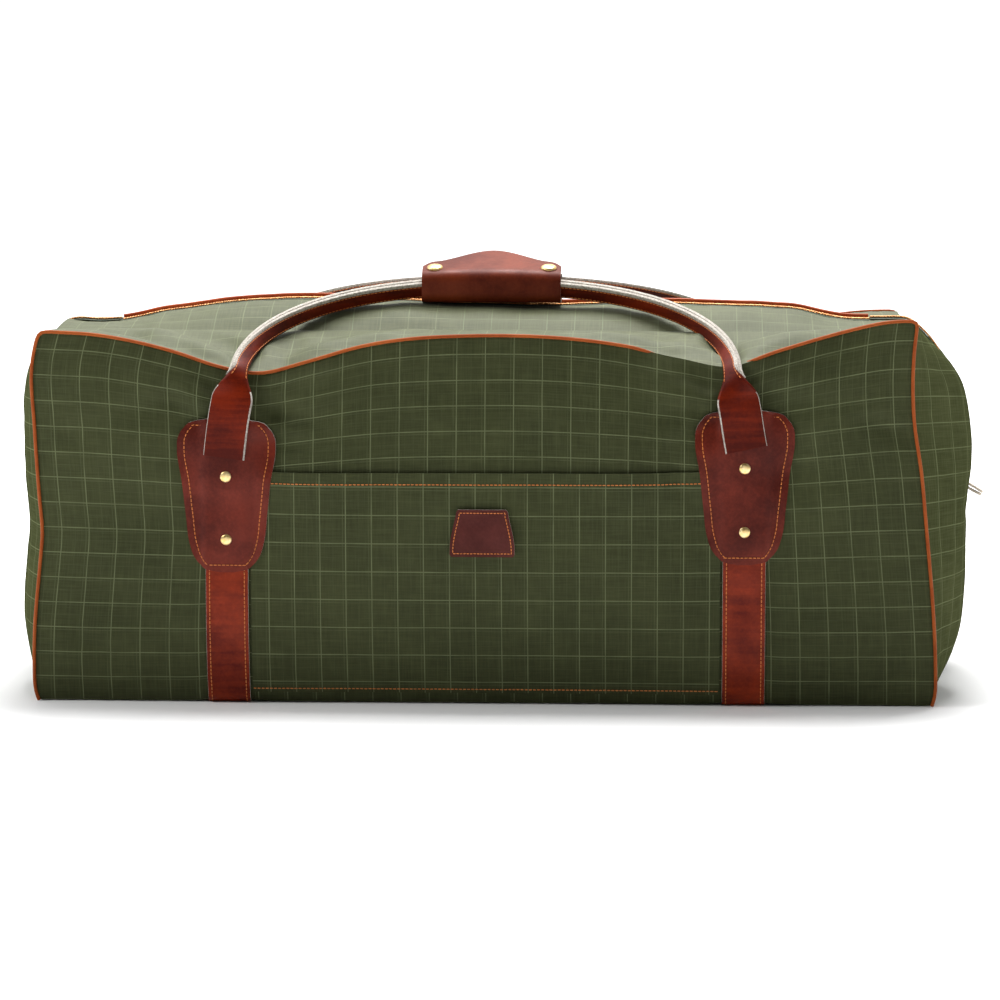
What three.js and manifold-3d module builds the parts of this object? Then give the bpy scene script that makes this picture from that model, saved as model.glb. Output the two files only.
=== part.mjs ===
// A canvas weekender bag with leather trim: a long soft box with a zip along its top, two carry
// handles gathered in a snap-shut leather grip, a front pocket and two straps that run right under it.
// Millimetres, +Z up, +X along the bag, the front faces -Y, and the bag rests on z = 0.
import * as THREE from 'three';
import { mergeVertices } from 'three/addons/utils/BufferGeometryUtils.js';
import Module from 'manifold-3d';

const wasm = await Module();
wasm.setup();

// ---- driving dimensions ----
const HALF_LENGTH = 345;
const HALF_DEPTH = 150;
const SEAM_HEIGHT = 286; // front and back top seams, halfway along
const CORNER_RISE = 8; // the seams rise by this to the corners
const DIP_DEPTH = 32; // where the handles press the seams down
const DIP_X = 185;
const DIP_WIDTH = 70;
const RIDGE_HEIGHT = 299; // the closed zip, halfway along
const RIDGE_DROP = 13; // the zip is lower than this at the ends
const FOLD_Y = 60; // the mouth flaps turn on this line
const FOLD_HEIGHT = 286;
const FRONT_BULGE = 14;
const END_BULGE = 18;
const CLOTH = 2.5; // thickness of a cloth wall
const GAP = 0.3; // between neighbours that touch
const PIPING_RADIUS = 2.5;
const CORNER_RADIUS = 10; // the front's top corners, as the piping turns them

const HANDLE_X = 199; // the strap's centre line
const STRAP_WIDTH = 33;
const STRAP_THICK = 2.5;
const STRAP_LIFT = 0.9; // strap over the cloth
const CHANNEL_HALF = STRAP_WIDTH / 2 + 1; // the bottom cloth rises over each strap in a channel
const CHAPE_LIFT = 4.4; // leather patch over the cloth, with the strap between
const CHAPE_THICK = 2.8;
const SLOT_Z = 195; // the handle strap comes out of its patch here
const RIVET_HEIGHTS = [130, 179];
const RIVET_SHANK = 1.6;
const RIVET_HOLE = 1.9;

const ARCH_BASE = new THREE.Vector3(189, -163, 260.5);
const ARCH_TOP = new THREE.Vector3(0, -13, 314.8);
const ARCH_POWER = 2.15; // a half ellipse would be 2: the arch is a little squarer
const FOLDED_WIDTH = 11; // the strap once folded lengthwise
const FOLDED_THICK = 10.5;
const GRIP_X = 4;
const GRIP_LENGTH = 111;
const GRIP_HALF = 22.5; // inside of the grip, front to back
const GRIP_FLOOR = 302.6;
const GRIP_LID = 325.6;
const LEATHER = 2.4;
const SNAP_SPACING = 91;
const SNAP_BACK = 26; // from the flap's crease to its snaps

const POCKET_HALF = 181;
const POCKET_TOP = 179;
const POCKET_BOTTOM = 8;
const POCKET_GAPE = 6.6;

const ZIP_HALF = 14; // half the tape's width
const TEETH_HALF = 2.8;
const MOUTH_HALF = 300; // half the length of the mouth flaps
const END_ZIP_X = HALF_LENGTH + END_BULGE + 0.6; // back of the tape on the ends
const END_ZIP_TOP = 246; // above this the end tape leans in to the corner
const ZIP_STOP_Z = 148;
const SLIDER_Z = 160;

// ---- materials ----
const finish = (color, roughness, metalness = 0) => () => new THREE.MeshStandardMaterial({ color, roughness, metalness });
const canvas = finish(0x474f33, 0.9);
const board = finish(0x3a3a38, 0.8);
const piped = finish(0xb5602c, 0.55);
const leather = finish(0x8a3f20, 0.5);
const patchLeather = finish(0x6a2c1f, 0.5);
const tape = finish(0x33382a, 0.9);
const zipMetal = finish(0xb98557, 0.35, 0.9);
const brass = finish(0xc9a86a, 0.3, 0.9);
const paleLeather = finish(0xc9bfae, 0.6);

// ---- the bag's outer surface ----
const smooth = (a, b, t) => THREE.MathUtils.smoothstep(t, a, b);

function seamHeight(x) {
  const rise = CORNER_RISE * (x / HALF_LENGTH) ** 2;
  const dip = DIP_DEPTH * Math.exp(-(((Math.abs(x) - DIP_X) / DIP_WIDTH) ** 2));
  return SEAM_HEIGHT + rise - dip;
}

function ridgeHeight(x) {
  return RIDGE_HEIGHT - RIDGE_DROP * smooth(190, 335, Math.abs(x));
}

// Height of the bag's top, which falls from the zip to the fold lines and on to the seams.
function topHeight(x, y) {
  const off = Math.abs(y);
  if (off > FOLD_Y) {
    const share = Math.max(0, (HALF_DEPTH - off) / (HALF_DEPTH - FOLD_Y));
    return seamHeight(x) + (FOLD_HEIGHT - seamHeight(x)) * share ** 1.15;
  }
  return FOLD_HEIGHT + (ridgeHeight(x) - FOLD_HEIGHT) * (1 - (off / FOLD_Y) ** 2);
}

// Fullness of a wall: 0 on its edges and 1 over most of it. Both arguments run from -1 to 1.
const fullness = (across, up) => (1 - across ** 4) * (1 - up ** 4);

// Distance of the front wall's outer face from the bag's middle plane.
function frontDepth(x, z) {
  return HALF_DEPTH + FRONT_BULGE * fullness(x / HALF_LENGTH, (2 * z) / SEAM_HEIGHT - 1);
}

function endReach(y, z) {
  return HALF_LENGTH + END_BULGE * fullness(y / HALF_DEPTH, (2 * z) / SEAM_HEIGHT - 1);
}

// ---- geometry helpers ----

// Turns the faces outward if a mirror or a mapping has turned them in.
function faceOutward(geometry) {
  const solid = mergeVertices(bare(geometry), 1e-5);
  const position = solid.attributes.position;
  const index = solid.index;
  const corner = [new THREE.Vector3(), new THREE.Vector3(), new THREE.Vector3()];
  let volume = 0;
  for (let i = 0; i < index.count; i += 3) {
    corner.forEach((c, k) => c.fromBufferAttribute(position, index.getX(i + k)));
    volume += corner[0].dot(corner[1].cross(corner[2]));
  }
  if (volume < 0) {
    for (let i = 0; i < index.count; i += 3) {
      const first = index.getX(i);
      index.setX(i, index.getX(i + 1));
      index.setX(i + 1, first);
    }
  }
  solid.computeVertexNormals();
  return solid;
}

function bare(geometry) {
  const only = new THREE.BufferGeometry();
  only.setAttribute('position', geometry.attributes.position.clone());
  if (geometry.index) only.setIndex(geometry.index.clone());
  return only;
}

// Moves every vertex of a geometry with move(point).
function bend(geometry, move) {
  const position = geometry.attributes.position;
  const point = new THREE.Vector3();
  for (let i = 0; i < position.count; i++) {
    move(point.fromBufferAttribute(position, i));
    position.setXYZ(i, point.x, point.y, point.z);
  }
  return faceOutward(geometry);
}

// A curved wall, gridded across and up: place(u, v, w) gives a point for u, v and w from 0 to 1.
function wall(across, up, place) {
  return bend(new THREE.BoxGeometry(1, 1, 1, across, 1, up), (p) => {
    p.copy(place(p.x + 0.5, p.z + 0.5, p.y + 0.5));
  });
}

const mirrorY = (geometry) => faceOutward(geometry.clone().scale(1, -1, 1));
const mirrorX = (geometry) => faceOutward(geometry.clone().scale(-1, 1, 1));

// A profile drawn in Y and Z, drawn out along X for `length` and centred on `centre`.
function alongX(points, length, centre) {
  const shape = new THREE.Shape(points.map(([y, z]) => new THREE.Vector2(y, z)));
  const geometry = new THREE.ExtrudeGeometry(shape, { depth: length, bevelEnabled: false });
  const axes = new THREE.Matrix4().makeBasis(
    new THREE.Vector3(0, 1, 0),
    new THREE.Vector3(0, 0, 1),
    new THREE.Vector3(1, 0, 0),
  );
  return faceOutward(geometry.applyMatrix4(axes).translate(centre - length / 2, 0, 0));
}

// A profile drawn in X and Z, drawn out along Y from -half to half.
function alongY(points, half) {
  const shape = new THREE.Shape(points.map(([x, z]) => new THREE.Vector2(x, z)));
  const geometry = new THREE.ExtrudeGeometry(shape, { depth: 2 * half, bevelEnabled: false });
  return faceOutward(geometry.rotateX(Math.PI / 2).translate(0, half, 0));
}

// A leather patch: an outline drawn in X and Z, laid over the front wall `lift` away from it.
function onFront(shape, thick, lift) {
  const box = new THREE.Box2().setFromPoints(shape.getPoints(10)).expandByScalar(2);
  const sheet = wall(5, 8, (u, v, w) => {
    const x = THREE.MathUtils.lerp(box.min.x, box.max.x, u);
    const z = THREE.MathUtils.lerp(box.min.y, box.max.y, v);
    return new THREE.Vector3(x, -(frontDepth(x, z) + lift + thick * (1 - w)), z);
  });
  const punch = new THREE.ExtrudeGeometry(shape, { depth: 100, bevelEnabled: false, curveSegments: 8 });
  punch.rotateX(Math.PI / 2).translate(0, -HALF_DEPTH + 50, 0);
  return fromManifold(toManifold(sheet).intersect(toManifold(punch)));
}

function tube(points, radius, steps) {
  const round = new THREE.Shape().absarc(0, 0, radius, 0, 2 * Math.PI);
  const path = new THREE.CatmullRomCurve3(points, false, 'centripetal');
  return faceOutward(
    new THREE.ExtrudeGeometry(round, { steps, curveSegments: 3, extrudePath: path, bevelEnabled: false }),
  );
}

function toManifold(geometry) {
  const solid = faceOutward(geometry);
  return new wasm.Manifold(
    new wasm.Mesh({
      numProp: 3,
      vertProperties: new Float32Array(solid.attributes.position.array),
      triVerts: new Uint32Array(solid.index.array),
    }),
  );
}

function fromManifold(solid) {
  const mesh = solid.getMesh();
  const result = new THREE.BufferGeometry();
  result.setAttribute('position', new THREE.BufferAttribute(new Float32Array(mesh.vertProperties), 3));
  result.setIndex(new THREE.BufferAttribute(new Uint32Array(mesh.triVerts), 1));
  return faceOutward(result);
}

function cut(geometry, cutters) {
  let solid = toManifold(geometry);
  for (const cutter of cutters) solid = solid.subtract(toManifold(cutter));
  return fromManifold(solid);
}

// Drills for the two rivets of each patch on one side (x = HANDLE_X) or on both.
function rivetDrills(centres) {
  return centres.flatMap((x) =>
    RIVET_HEIGHTS.map((z) => new THREE.CylinderGeometry(RIVET_HOLE, RIVET_HOLE, 60, 12).translate(x, -HALF_DEPTH, z)),
  );
}

// ---- scene graph ----
const group = new THREE.Group();

function add(name, geometry, material, parent = group) {
  const mesh = new THREE.Mesh(geometry, material());
  mesh.name = name;
  parent.add(mesh);
  return mesh;
}

// Adds a front piece and its mirrored twin at the back.
function addFrontAndBack(front, back, geometry, material) {
  add(front, geometry, material);
  add(back, mirrorY(geometry), material);
}

// ---- cloth walls ----
function frontPanel() {
  const edge = HALF_LENGTH - PIPING_RADIUS - 0.8;
  const low = CLOTH + GAP;
  const sheet = wall(28, 12, (u, v, w) => {
    const spread = Math.sin((u - 0.5) * Math.PI); // closer columns towards the corners
    const x = edge * THREE.MathUtils.lerp(2 * u - 1, spread, 0.6);
    const past = Math.max(0, Math.abs(x) - (edge - CORNER_RADIUS));
    const rounding = CORNER_RADIUS - Math.sqrt(CORNER_RADIUS ** 2 - past ** 2);
    const z = THREE.MathUtils.lerp(low, seamHeight(x) - PIPING_RADIUS - 0.8 - rounding, v);
    return new THREE.Vector3(x, -frontDepth(x, z) + CLOTH * w, z);
  });
  const notchHeight = 2 * (CLOTH + GAP);
  const notches = [-HANDLE_X, HANDLE_X].map((x) =>
    new THREE.BoxGeometry(2 * (CHANNEL_HALF + CLOTH + GAP), 40, 2 * notchHeight).translate(x, -HALF_DEPTH, 0),
  );
  return cut(sheet, [...rivetDrills([-HANDLE_X, HANDLE_X]), ...notches]);
}

// The bottom cloth, raised over each strap that passes below it.
function bottomPanel() {
  const raised = STRAP_THICK + GAP;
  const steps = [-HANDLE_X, HANDLE_X].flatMap((x) => [
    [x - CHANNEL_HALF, 0],
    [x - CHANNEL_HALF, raised],
    [x + CHANNEL_HALF, raised],
    [x + CHANNEL_HALF, 0],
  ]);
  const under = [[-HALF_LENGTH, 0], ...steps, [HALF_LENGTH, 0]];
  const over = [...under].reverse().map(([x, z]) => {
    const side = Math.sign(Math.abs(x) - HANDLE_X) * Math.sign(x);
    const wider = Math.abs(x) === HALF_LENGTH ? 0 : side * CLOTH;
    return [x + wider, z + CLOTH];
  });
  return alongY([...under, ...over], HALF_DEPTH);
}

function endPanel() {
  const edge = HALF_DEPTH - PIPING_RADIUS - 0.8;
  return wall(10, 10, (u, v, w) => {
    const y = THREE.MathUtils.lerp(-edge, edge, u);
    const z = THREE.MathUtils.lerp(CLOTH + GAP, topHeight(HALF_LENGTH, y) - CLOTH - GAP, v);
    return new THREE.Vector3(endReach(y, z) - CLOTH * w, y, z);
  });
}

// The fixed cloth of the top, between two x and two y limits.
function topSheet(x0, x1, y0, y1, across, deep) {
  return wall(across, deep, (u, v, w) => {
    const x = THREE.MathUtils.lerp(x0, x1, u);
    const y = THREE.MathUtils.lerp(y0, y1, v);
    return new THREE.Vector3(x, y, topHeight(x, y) - CLOTH * w);
  });
}

const seamEdge = HALF_DEPTH - PIPING_RADIUS - 0.8;

addFrontAndBack('front_panel', 'back_panel', frontPanel(), canvas);
add('bottom_panel', bottomPanel(), canvas);
add('end_panel_right', endPanel(), canvas);
add('end_panel_left', mirrorX(endPanel()), canvas);
addFrontAndBack(
  'top_panel_front',
  'top_panel_rear',
  topSheet(-MOUTH_HALF, MOUTH_HALF, -seamEdge, -FOLD_Y - GAP, 28, 4),
  canvas,
);
const cornerSheet = topSheet(MOUTH_HALF + GAP, HALF_LENGTH - PIPING_RADIUS - 0.8, -seamEdge, seamEdge, 2, 14);
add('top_corner_right', cornerSheet, canvas);
add('top_corner_left', mirrorX(cornerSheet), canvas);
const boardLift = 2 * (CLOTH + GAP) + GAP;
add('base_board', new THREE.BoxGeometry(670, 286, 2.5).translate(0, 0, boardLift + 1.25), board);

// ---- piping along the top seam and down the corners ----
function piping() {
  const turn = CORNER_RADIUS;
  const low = CLOTH + GAP + 1;
  const points = [];
  for (const z of [low, 70, 140, 210, 262]) points.push(new THREE.Vector3(-HALF_LENGTH, -HALF_DEPTH, z));
  points.push(new THREE.Vector3(-HALF_LENGTH, -HALF_DEPTH, seamHeight(HALF_LENGTH) - turn));
  const count = 30;
  for (let i = 0; i <= count; i++) {
    const x = THREE.MathUtils.lerp(-HALF_LENGTH + turn, HALF_LENGTH - turn, i / count);
    points.push(new THREE.Vector3(x, -HALF_DEPTH, seamHeight(x)));
  }
  const down = points.slice(0, 6).reverse();
  for (const p of down) points.push(new THREE.Vector3(HALF_LENGTH, p.y, p.z));
  return tube(points, PIPING_RADIUS, 120);
}
addFrontAndBack('piping_front', 'piping_back', piping(), piped);

// ---- straps, patches, rivets, pocket and label ----

// One strap runs from the slot in the front patch, down, under the bag and up to the back patch.
function underStrap(x) {
  const heights = Array.from({ length: 19 }, (_, i) => THREE.MathUtils.lerp(SLOT_Z - 4, STRAP_THICK + 5, i / 18));
  const inner = heights.map((z) => [-(frontDepth(x, z) + STRAP_LIFT), z]);
  const outer = heights.map((z) => [-(frontDepth(x, z) + STRAP_LIFT + STRAP_THICK), z]);
  const heel = HALF_DEPTH + STRAP_LIFT;
  const front = [...inner, [-heel, STRAP_THICK]];
  const soleFront = [[-heel + 2, 0], [-heel - STRAP_THICK, 4]];
  const half = [...outer].reverse();
  const mirrored = (list) => [...list].reverse().map(([y, z]) => [-y, z]);
  const profile = [...front, ...mirrored(front), ...mirrored(half), ...mirrored(soleFront), ...soleFront, ...half];
  return cut(alongX(profile, STRAP_WIDTH, x), [...rivetDrills([x]), ...rivetDrills([x]).map(mirrorY)]);
}

// A leather patch outline: a round shoulder that tapers to a rounded foot.
function chapeShape(x) {
  const shape = new THREE.Shape();
  shape.moveTo(x - 30, 112);
  shape.bezierCurveTo(x - 29, 105, x + 29, 105, x + 30, 112);
  shape.bezierCurveTo(x + 33, 118, x + 32, 134, x + 34, 148);
  shape.bezierCurveTo(x + 37, 170, x + 38.5, 184, x + 38.5, 202);
  shape.bezierCurveTo(x + 38, 214, x + 30, 221, x + 19, 222.5);
  shape.lineTo(x - 19, 222.5);
  shape.bezierCurveTo(x - 30, 221, x - 38, 214, x - 38.5, 202);
  shape.bezierCurveTo(x - 38.5, 184, x - 37, 170, x - 34, 148);
  shape.bezierCurveTo(x - 32, 134, x - 33, 118, x - 30, 112);
  return shape;
}

function chape(x) {
  const slot = new THREE.BoxGeometry(STRAP_WIDTH + 2, 60, 4).translate(x, -HALF_DEPTH, SLOT_Z);
  return cut(onFront(chapeShape(x), CHAPE_THICK, CHAPE_LIFT), [...rivetDrills([x]), slot]);
}

// A tubular rivet: domed head outside, shank through the layers and a flat burr inside.
function rivet(x, z) {
  const skin = frontDepth(x, z);
  const inside = skin - CLOTH - 0.4;
  const outside = skin + CHAPE_LIFT + CHAPE_THICK + 0.4;
  const profile = [
    [0, inside - 1.4],
    [3.4, inside - 1.4],
    [3.4, inside],
    [RIVET_SHANK, inside],
    [RIVET_SHANK, outside],
    [4.2, outside],
    [3.6, outside + 1.1],
    [2.1, outside + 1.8],
    [0, outside + 2],
  ].map(([r, h]) => new THREE.Vector2(r, h));
  const turned = new THREE.LatheGeometry(profile, 14);
  return faceOutward(turned.rotateX(Math.PI).translate(x, 0, z));
}

const sides = [['left', -HANDLE_X], ['right', HANDLE_X]];
const rivetNames = ['lower', 'upper'];
for (const [side, x] of sides) {
  add(`under_strap_${side}`, underStrap(x), leather);
  addFrontAndBack(`chape_front_${side}`, `chape_back_${side}`, chape(x), patchLeather);
  RIVET_HEIGHTS.forEach((z, i) => {
    const name = `${side}_${rivetNames[i]}`;
    addFrontAndBack(`rivet_front_${name}`, `rivet_back_${name}`, rivet(x, z), brass);
  });
}

// How far the pocket cloth stands off the front wall: most at its open top, none along its sewn edges.
function pocketGape(x, z) {
  const across = Math.max(0, 1 - (Math.abs(x) / 160) ** 4);
  return 0.5 + POCKET_GAPE * across * smooth(POCKET_BOTTOM, 60, z);
}

function pocketPanel() {
  const thick = 1.6;
  return wall(16, 8, (u, v, w) => {
    const x = THREE.MathUtils.lerp(-POCKET_HALF, POCKET_HALF, u);
    const z = THREE.MathUtils.lerp(POCKET_BOTTOM, POCKET_TOP, v);
    return new THREE.Vector3(x, -(frontDepth(x, z) + pocketGape(x, z) + thick * (1 - w)), z);
  });
}
add('pocket_panel', pocketPanel(), canvas);

function labelShape() {
  const shape = new THREE.Shape();
  shape.moveTo(-22, 121);
  shape.lineTo(22, 121);
  shape.quadraticCurveTo(26, 121, 25.5, 125);
  shape.lineTo(21, 153);
  shape.quadraticCurveTo(20, 156.5, 17, 156.5);
  shape.lineTo(-17, 156.5);
  shape.quadraticCurveTo(-20, 156.5, -21, 153);
  shape.lineTo(-25.5, 125);
  shape.quadraticCurveTo(-26, 121, -22, 121);
  return shape;
}
add('label_patch', onFront(labelShape(), 2, POCKET_GAPE + 3), patchLeather);

// ---- zip: flaps on both sides of the mouth, fixed runs over the ends ----
function topStrip(y0, y1, low, high, x0, x1, cells) {
  return wall(cells, 1, (u, v, w) => {
    const x = THREE.MathUtils.lerp(x0, x1, u);
    const y = THREE.MathUtils.lerp(y0, y1, v);
    return new THREE.Vector3(x, y, topHeight(x, y) + THREE.MathUtils.lerp(high, low, w));
  });
}

const flapSheet = topSheet(-MOUTH_HALF, MOUTH_HALF, -FOLD_Y + GAP, -ZIP_HALF, 28, 3);
const flapTape = topStrip(-ZIP_HALF + GAP, -TEETH_HALF - GAP, -1.8, -0.4, -MOUTH_HALF, MOUTH_HALF, 28);
const flapTeeth = topStrip(-TEETH_HALF, -GAP / 2, -2, 1.4, -MOUTH_HALF, MOUTH_HALF, 28);
addFrontAndBack('mouth_flap_front', 'mouth_flap_rear', flapSheet, canvas);
addFrontAndBack('zip_tape_front', 'zip_tape_rear', flapTape, tape);
addFrontAndBack('zip_teeth_front', 'zip_teeth_rear', flapTeeth, zipMetal);

// A narrow leather strip is sewn over the tape behind the teeth.
const FACING_EDGE = 9.8; // its far edge, from the zip's middle
const FACING_RISE = 3;
const facing = topStrip(TEETH_HALF + 2 * GAP, FACING_EDGE, -0.4 + GAP, FACING_RISE, -MOUTH_HALF, MOUTH_HALF, 28);
add('zip_facing', facing, leather);

// The zip goes on over the corner and halfway down the end, as one bent strip of a given thickness.
function endRun(low, high, halfWidth) {
  const over = [MOUTH_HALF + GAP, 320, 336].map((x) => [x, topHeight(x, 0)]);
  const corner = [[345, 285.5], [352, 279.5], [359, 268], [END_ZIP_X, END_ZIP_TOP], [END_ZIP_X, ZIP_STOP_Z]];
  const lean = [0, 0, 0, 0.25, 0.55, 0.8, 1, 1];
  const line = [...over, ...corner];
  const offset = (amount) =>
    line.map(([x, z], i) => {
      const angle = (lean[i] * Math.PI) / 2;
      return [x + amount * Math.sin(angle), z + amount * Math.cos(angle)];
    });
  return alongY([...offset(low), ...offset(high).reverse()], halfWidth);
}
const endTape = endRun(0.4, 1.6, ZIP_HALF);
const endTeeth = endRun(1.9, 4, TEETH_HALF);
add('zip_end_tape_right', endTape, tape);
add('zip_end_tape_left', mirrorX(endTape), tape);
add('zip_end_teeth_right', endTeeth, zipMetal);
add('zip_end_teeth_left', mirrorX(endTeeth), zipMetal);

// ---- slider and pull ----
const sliderX = END_ZIP_X + 4.4;
const PULL_PIN = new THREE.Vector3(sliderX + 5.2, 0, SLIDER_Z);

function sliderBody() {
  const shape = new THREE.Shape();
  shape.moveTo(0, -8);
  shape.lineTo(2.6, -8);
  shape.lineTo(2.6, -4.4);
  shape.absarc(5.2, 0, 4, -2.2, 2.2, false);
  shape.lineTo(2.6, 8);
  shape.lineTo(0, 8);
  const hole = new THREE.Path().absarc(5.2, 0, 2.2, 0, 2 * Math.PI);
  shape.holes.push(hole);
  const geometry = new THREE.ExtrudeGeometry(shape, { depth: 3, bevelEnabled: false, curveSegments: 8 });
  const bridge = geometry.rotateX(Math.PI / 2).translate(sliderX, 1.5, SLIDER_Z);
  const plate = new THREE.BoxGeometry(1.8, 11, 15).translate(sliderX + 0.9, 0, SLIDER_Z);
  return fromManifold(toManifold(bridge).add(toManifold(plate)));
}
add('zip_slider', sliderBody(), zipMetal);

// The pull's metal link goes through the slider's bridge and clamps a folded leather tab.
const pull = new THREE.Group();
pull.position.copy(PULL_PIN);
pull.rotation.y = THREE.MathUtils.degToRad(30); // stands out and down
group.add(pull);

function pullLink() {
  const width = 9;
  const wire = 1.5;
  const outline = new THREE.Shape();
  outline.moveTo(-wire, -width / 2);
  outline.lineTo(9, -width / 2);
  outline.lineTo(9, width / 2);
  outline.lineTo(-wire, width / 2);
  const eye = new THREE.Path();
  eye.moveTo(wire * 0.9, -width / 2 + wire + 0.6);
  eye.lineTo(7, -width / 2 + wire + 0.6);
  eye.lineTo(7, width / 2 - wire - 0.6);
  eye.lineTo(wire * 0.9, width / 2 - wire - 0.6);
  outline.holes.push(eye);
  return faceOutward(new THREE.ExtrudeGeometry(outline, { depth: 2, bevelEnabled: false }).translate(0, 0, -1));
}

function pullTab() {
  const outline = new THREE.Shape();
  outline.moveTo(0, -4.5);
  outline.lineTo(11, -5);
  outline.absarc(11, 0, 5, -Math.PI / 2, Math.PI / 2, false);
  outline.lineTo(0, 4.5);
  return faceOutward(
    new THREE.ExtrudeGeometry(outline, { depth: 4, bevelEnabled: false, curveSegments: 8 }).translate(9.3, 0, -2),
  );
}
add('zip_pull_link', pullLink(), zipMetal, pull);
add('zip_pull_tab', pullTab(), paleLeather, pull);

// ---- carry handles ----
const archRise = ARCH_TOP.clone().sub(ARCH_BASE).setX(0);
const archNormal = new THREE.Vector3(0, -archRise.z, archRise.y).normalize();
const legDepth = frontDepth(HANDLE_X, SLOT_Z) + CHAPE_LIFT + CHAPE_THICK + 0.5 + STRAP_THICK / 2;

// The strap's centre line: up from the slot, over the seam and round in an arch to the far leg.
function handlePath() {
  const leg = [
    [HANDLE_X + 1.5, legDepth, SLOT_Z],
    [HANDLE_X - 0.5, legDepth, 215],
    [HANDLE_X - 4.5, legDepth, 234],
    [HANDLE_X - 8.5, legDepth - 1.4, 248],
  ].map(([x, y, z]) => new THREE.Vector3(-x, -y, z));
  const count = 24;
  const arch = Array.from({ length: count + 1 }, (_, i) => {
    const side = -Math.cos((Math.PI * i) / count);
    const rise = (1 - Math.abs(side) ** ARCH_POWER) ** (1 / ARCH_POWER);
    const back = 1 - (1 - rise) ** 1.3; // it leans back a little sooner than it rises
    return new THREE.Vector3(ARCH_BASE.x * side, ARCH_BASE.y + archRise.y * back, ARCH_BASE.z + archRise.z * rise);
  });
  const farLeg = leg.map((p) => p.clone().setX(-p.x)).reverse();
  return new THREE.CatmullRomCurve3([...leg, ...arch, ...farLeg], false, 'centripetal');
}

// A flat strap at its legs that folds lengthwise into a thick, narrow handle over the arch.
function handle() {
  const path = handlePath();
  const steps = 56;
  const front = new THREE.Vector3(0, -1, 0);
  return bend(new THREE.BoxGeometry(1, 1, 1, 2, 2, steps), (p) => {
    const share = THREE.MathUtils.clamp(p.z + 0.5, 0, 1);
    const centre = path.getPointAt(share);
    const along = path.getTangentAt(share);
    const folded = smooth(264, 292, centre.z);
    const guide = front.clone().lerp(archNormal, smooth(238, 264, centre.z));
    const out = guide.addScaledVector(along, -guide.dot(along)).normalize();
    const across = new THREE.Vector3().crossVectors(out, along);
    const width = THREE.MathUtils.lerp(STRAP_WIDTH - 1, FOLDED_WIDTH, folded);
    const thick = THREE.MathUtils.lerp(STRAP_THICK, FOLDED_THICK, folded);
    const offset = across.multiplyScalar(p.x * width).addScaledVector(out, p.y * thick);
    p.copy(centre).add(offset);
  });
}
addFrontAndBack('handle_front', 'handle_rear', handle(), leather);

// ---- grip: a front and a back leather half, and a flap that snaps shut over both handles ----
const outer = GRIP_HALF + LEATHER;
const gripFront = [
  [-GAP, GRIP_FLOOR],
  [-GAP, GRIP_FLOOR + LEATHER],
  [-GRIP_HALF, GRIP_FLOOR + LEATHER],
  [-GRIP_HALF, GRIP_LID],
  [-outer, GRIP_LID],
  [-outer, GRIP_FLOOR],
];
const gripRear = [
  [GAP, GRIP_FLOOR],
  [outer, GRIP_FLOOR],
  [outer, GRIP_LID],
  [6, GRIP_LID],
  [6, GRIP_LID - 1.6],
  [GRIP_HALF, GRIP_LID - 1.6],
  [GRIP_HALF, GRIP_FLOOR + LEATHER],
  [GAP, GRIP_FLOOR + LEATHER],
];
add('grip_front', alongX(gripFront, GRIP_LENGTH, GRIP_X), leather);
add('grip_rear', alongX(gripRear, GRIP_LENGTH, GRIP_X), leather);

const flap = new THREE.Group();
flap.position.set(GRIP_X, -outer, GRIP_LID + 0.4);
flap.rotation.x = THREE.MathUtils.degToRad(14); // rises to its free edge
group.add(flap);

function flapLeather() {
  const half = GRIP_LENGTH / 2;
  const outline = new THREE.Shape();
  outline.moveTo(-half, 0);
  outline.lineTo(half, 0);
  outline.lineTo(half, 41);
  outline.quadraticCurveTo(half - 14, 44, 16, 52);
  outline.quadraticCurveTo(0, 56, -16, 52);
  outline.quadraticCurveTo(14 - half, 44, -half, 41);
  for (const x of [-SNAP_SPACING / 2, SNAP_SPACING / 2]) {
    outline.holes.push(new THREE.Path().absarc(x, SNAP_BACK, 2.4, 0, 2 * Math.PI));
  }
  return faceOutward(new THREE.ExtrudeGeometry(outline, { depth: LEATHER, bevelEnabled: false, curveSegments: 8 }));
}
add('grip_flap', flapLeather(), leather, flap);

// The cap's shank passes down through the flap, and its socket is level with the flap's underside.
function snapCap() {
  const profile = [
    [0, 0.3],
    [2.1, 0.3],
    [2.1, LEATHER + 0.3],
    [6.4, LEATHER + 0.3],
    [6, LEATHER + 1.5],
    [3.4, LEATHER + 2.5],
    [0, LEATHER + 2.8],
  ].map(([r, h]) => new THREE.Vector2(r, h));
  return faceOutward(new THREE.LatheGeometry(profile, 16).rotateX(Math.PI / 2));
}
for (const [side, x] of [['left', -SNAP_SPACING / 2], ['right', SNAP_SPACING / 2]]) {
  add(`snap_cap_${side}`, snapCap(), brass, flap).position.set(x, SNAP_BACK, 0);
}

export default group;
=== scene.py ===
import math

import bmesh
import bpy
import numpy as np
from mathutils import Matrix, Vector, noise
from mathutils.bvhtree import BVHTree


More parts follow.
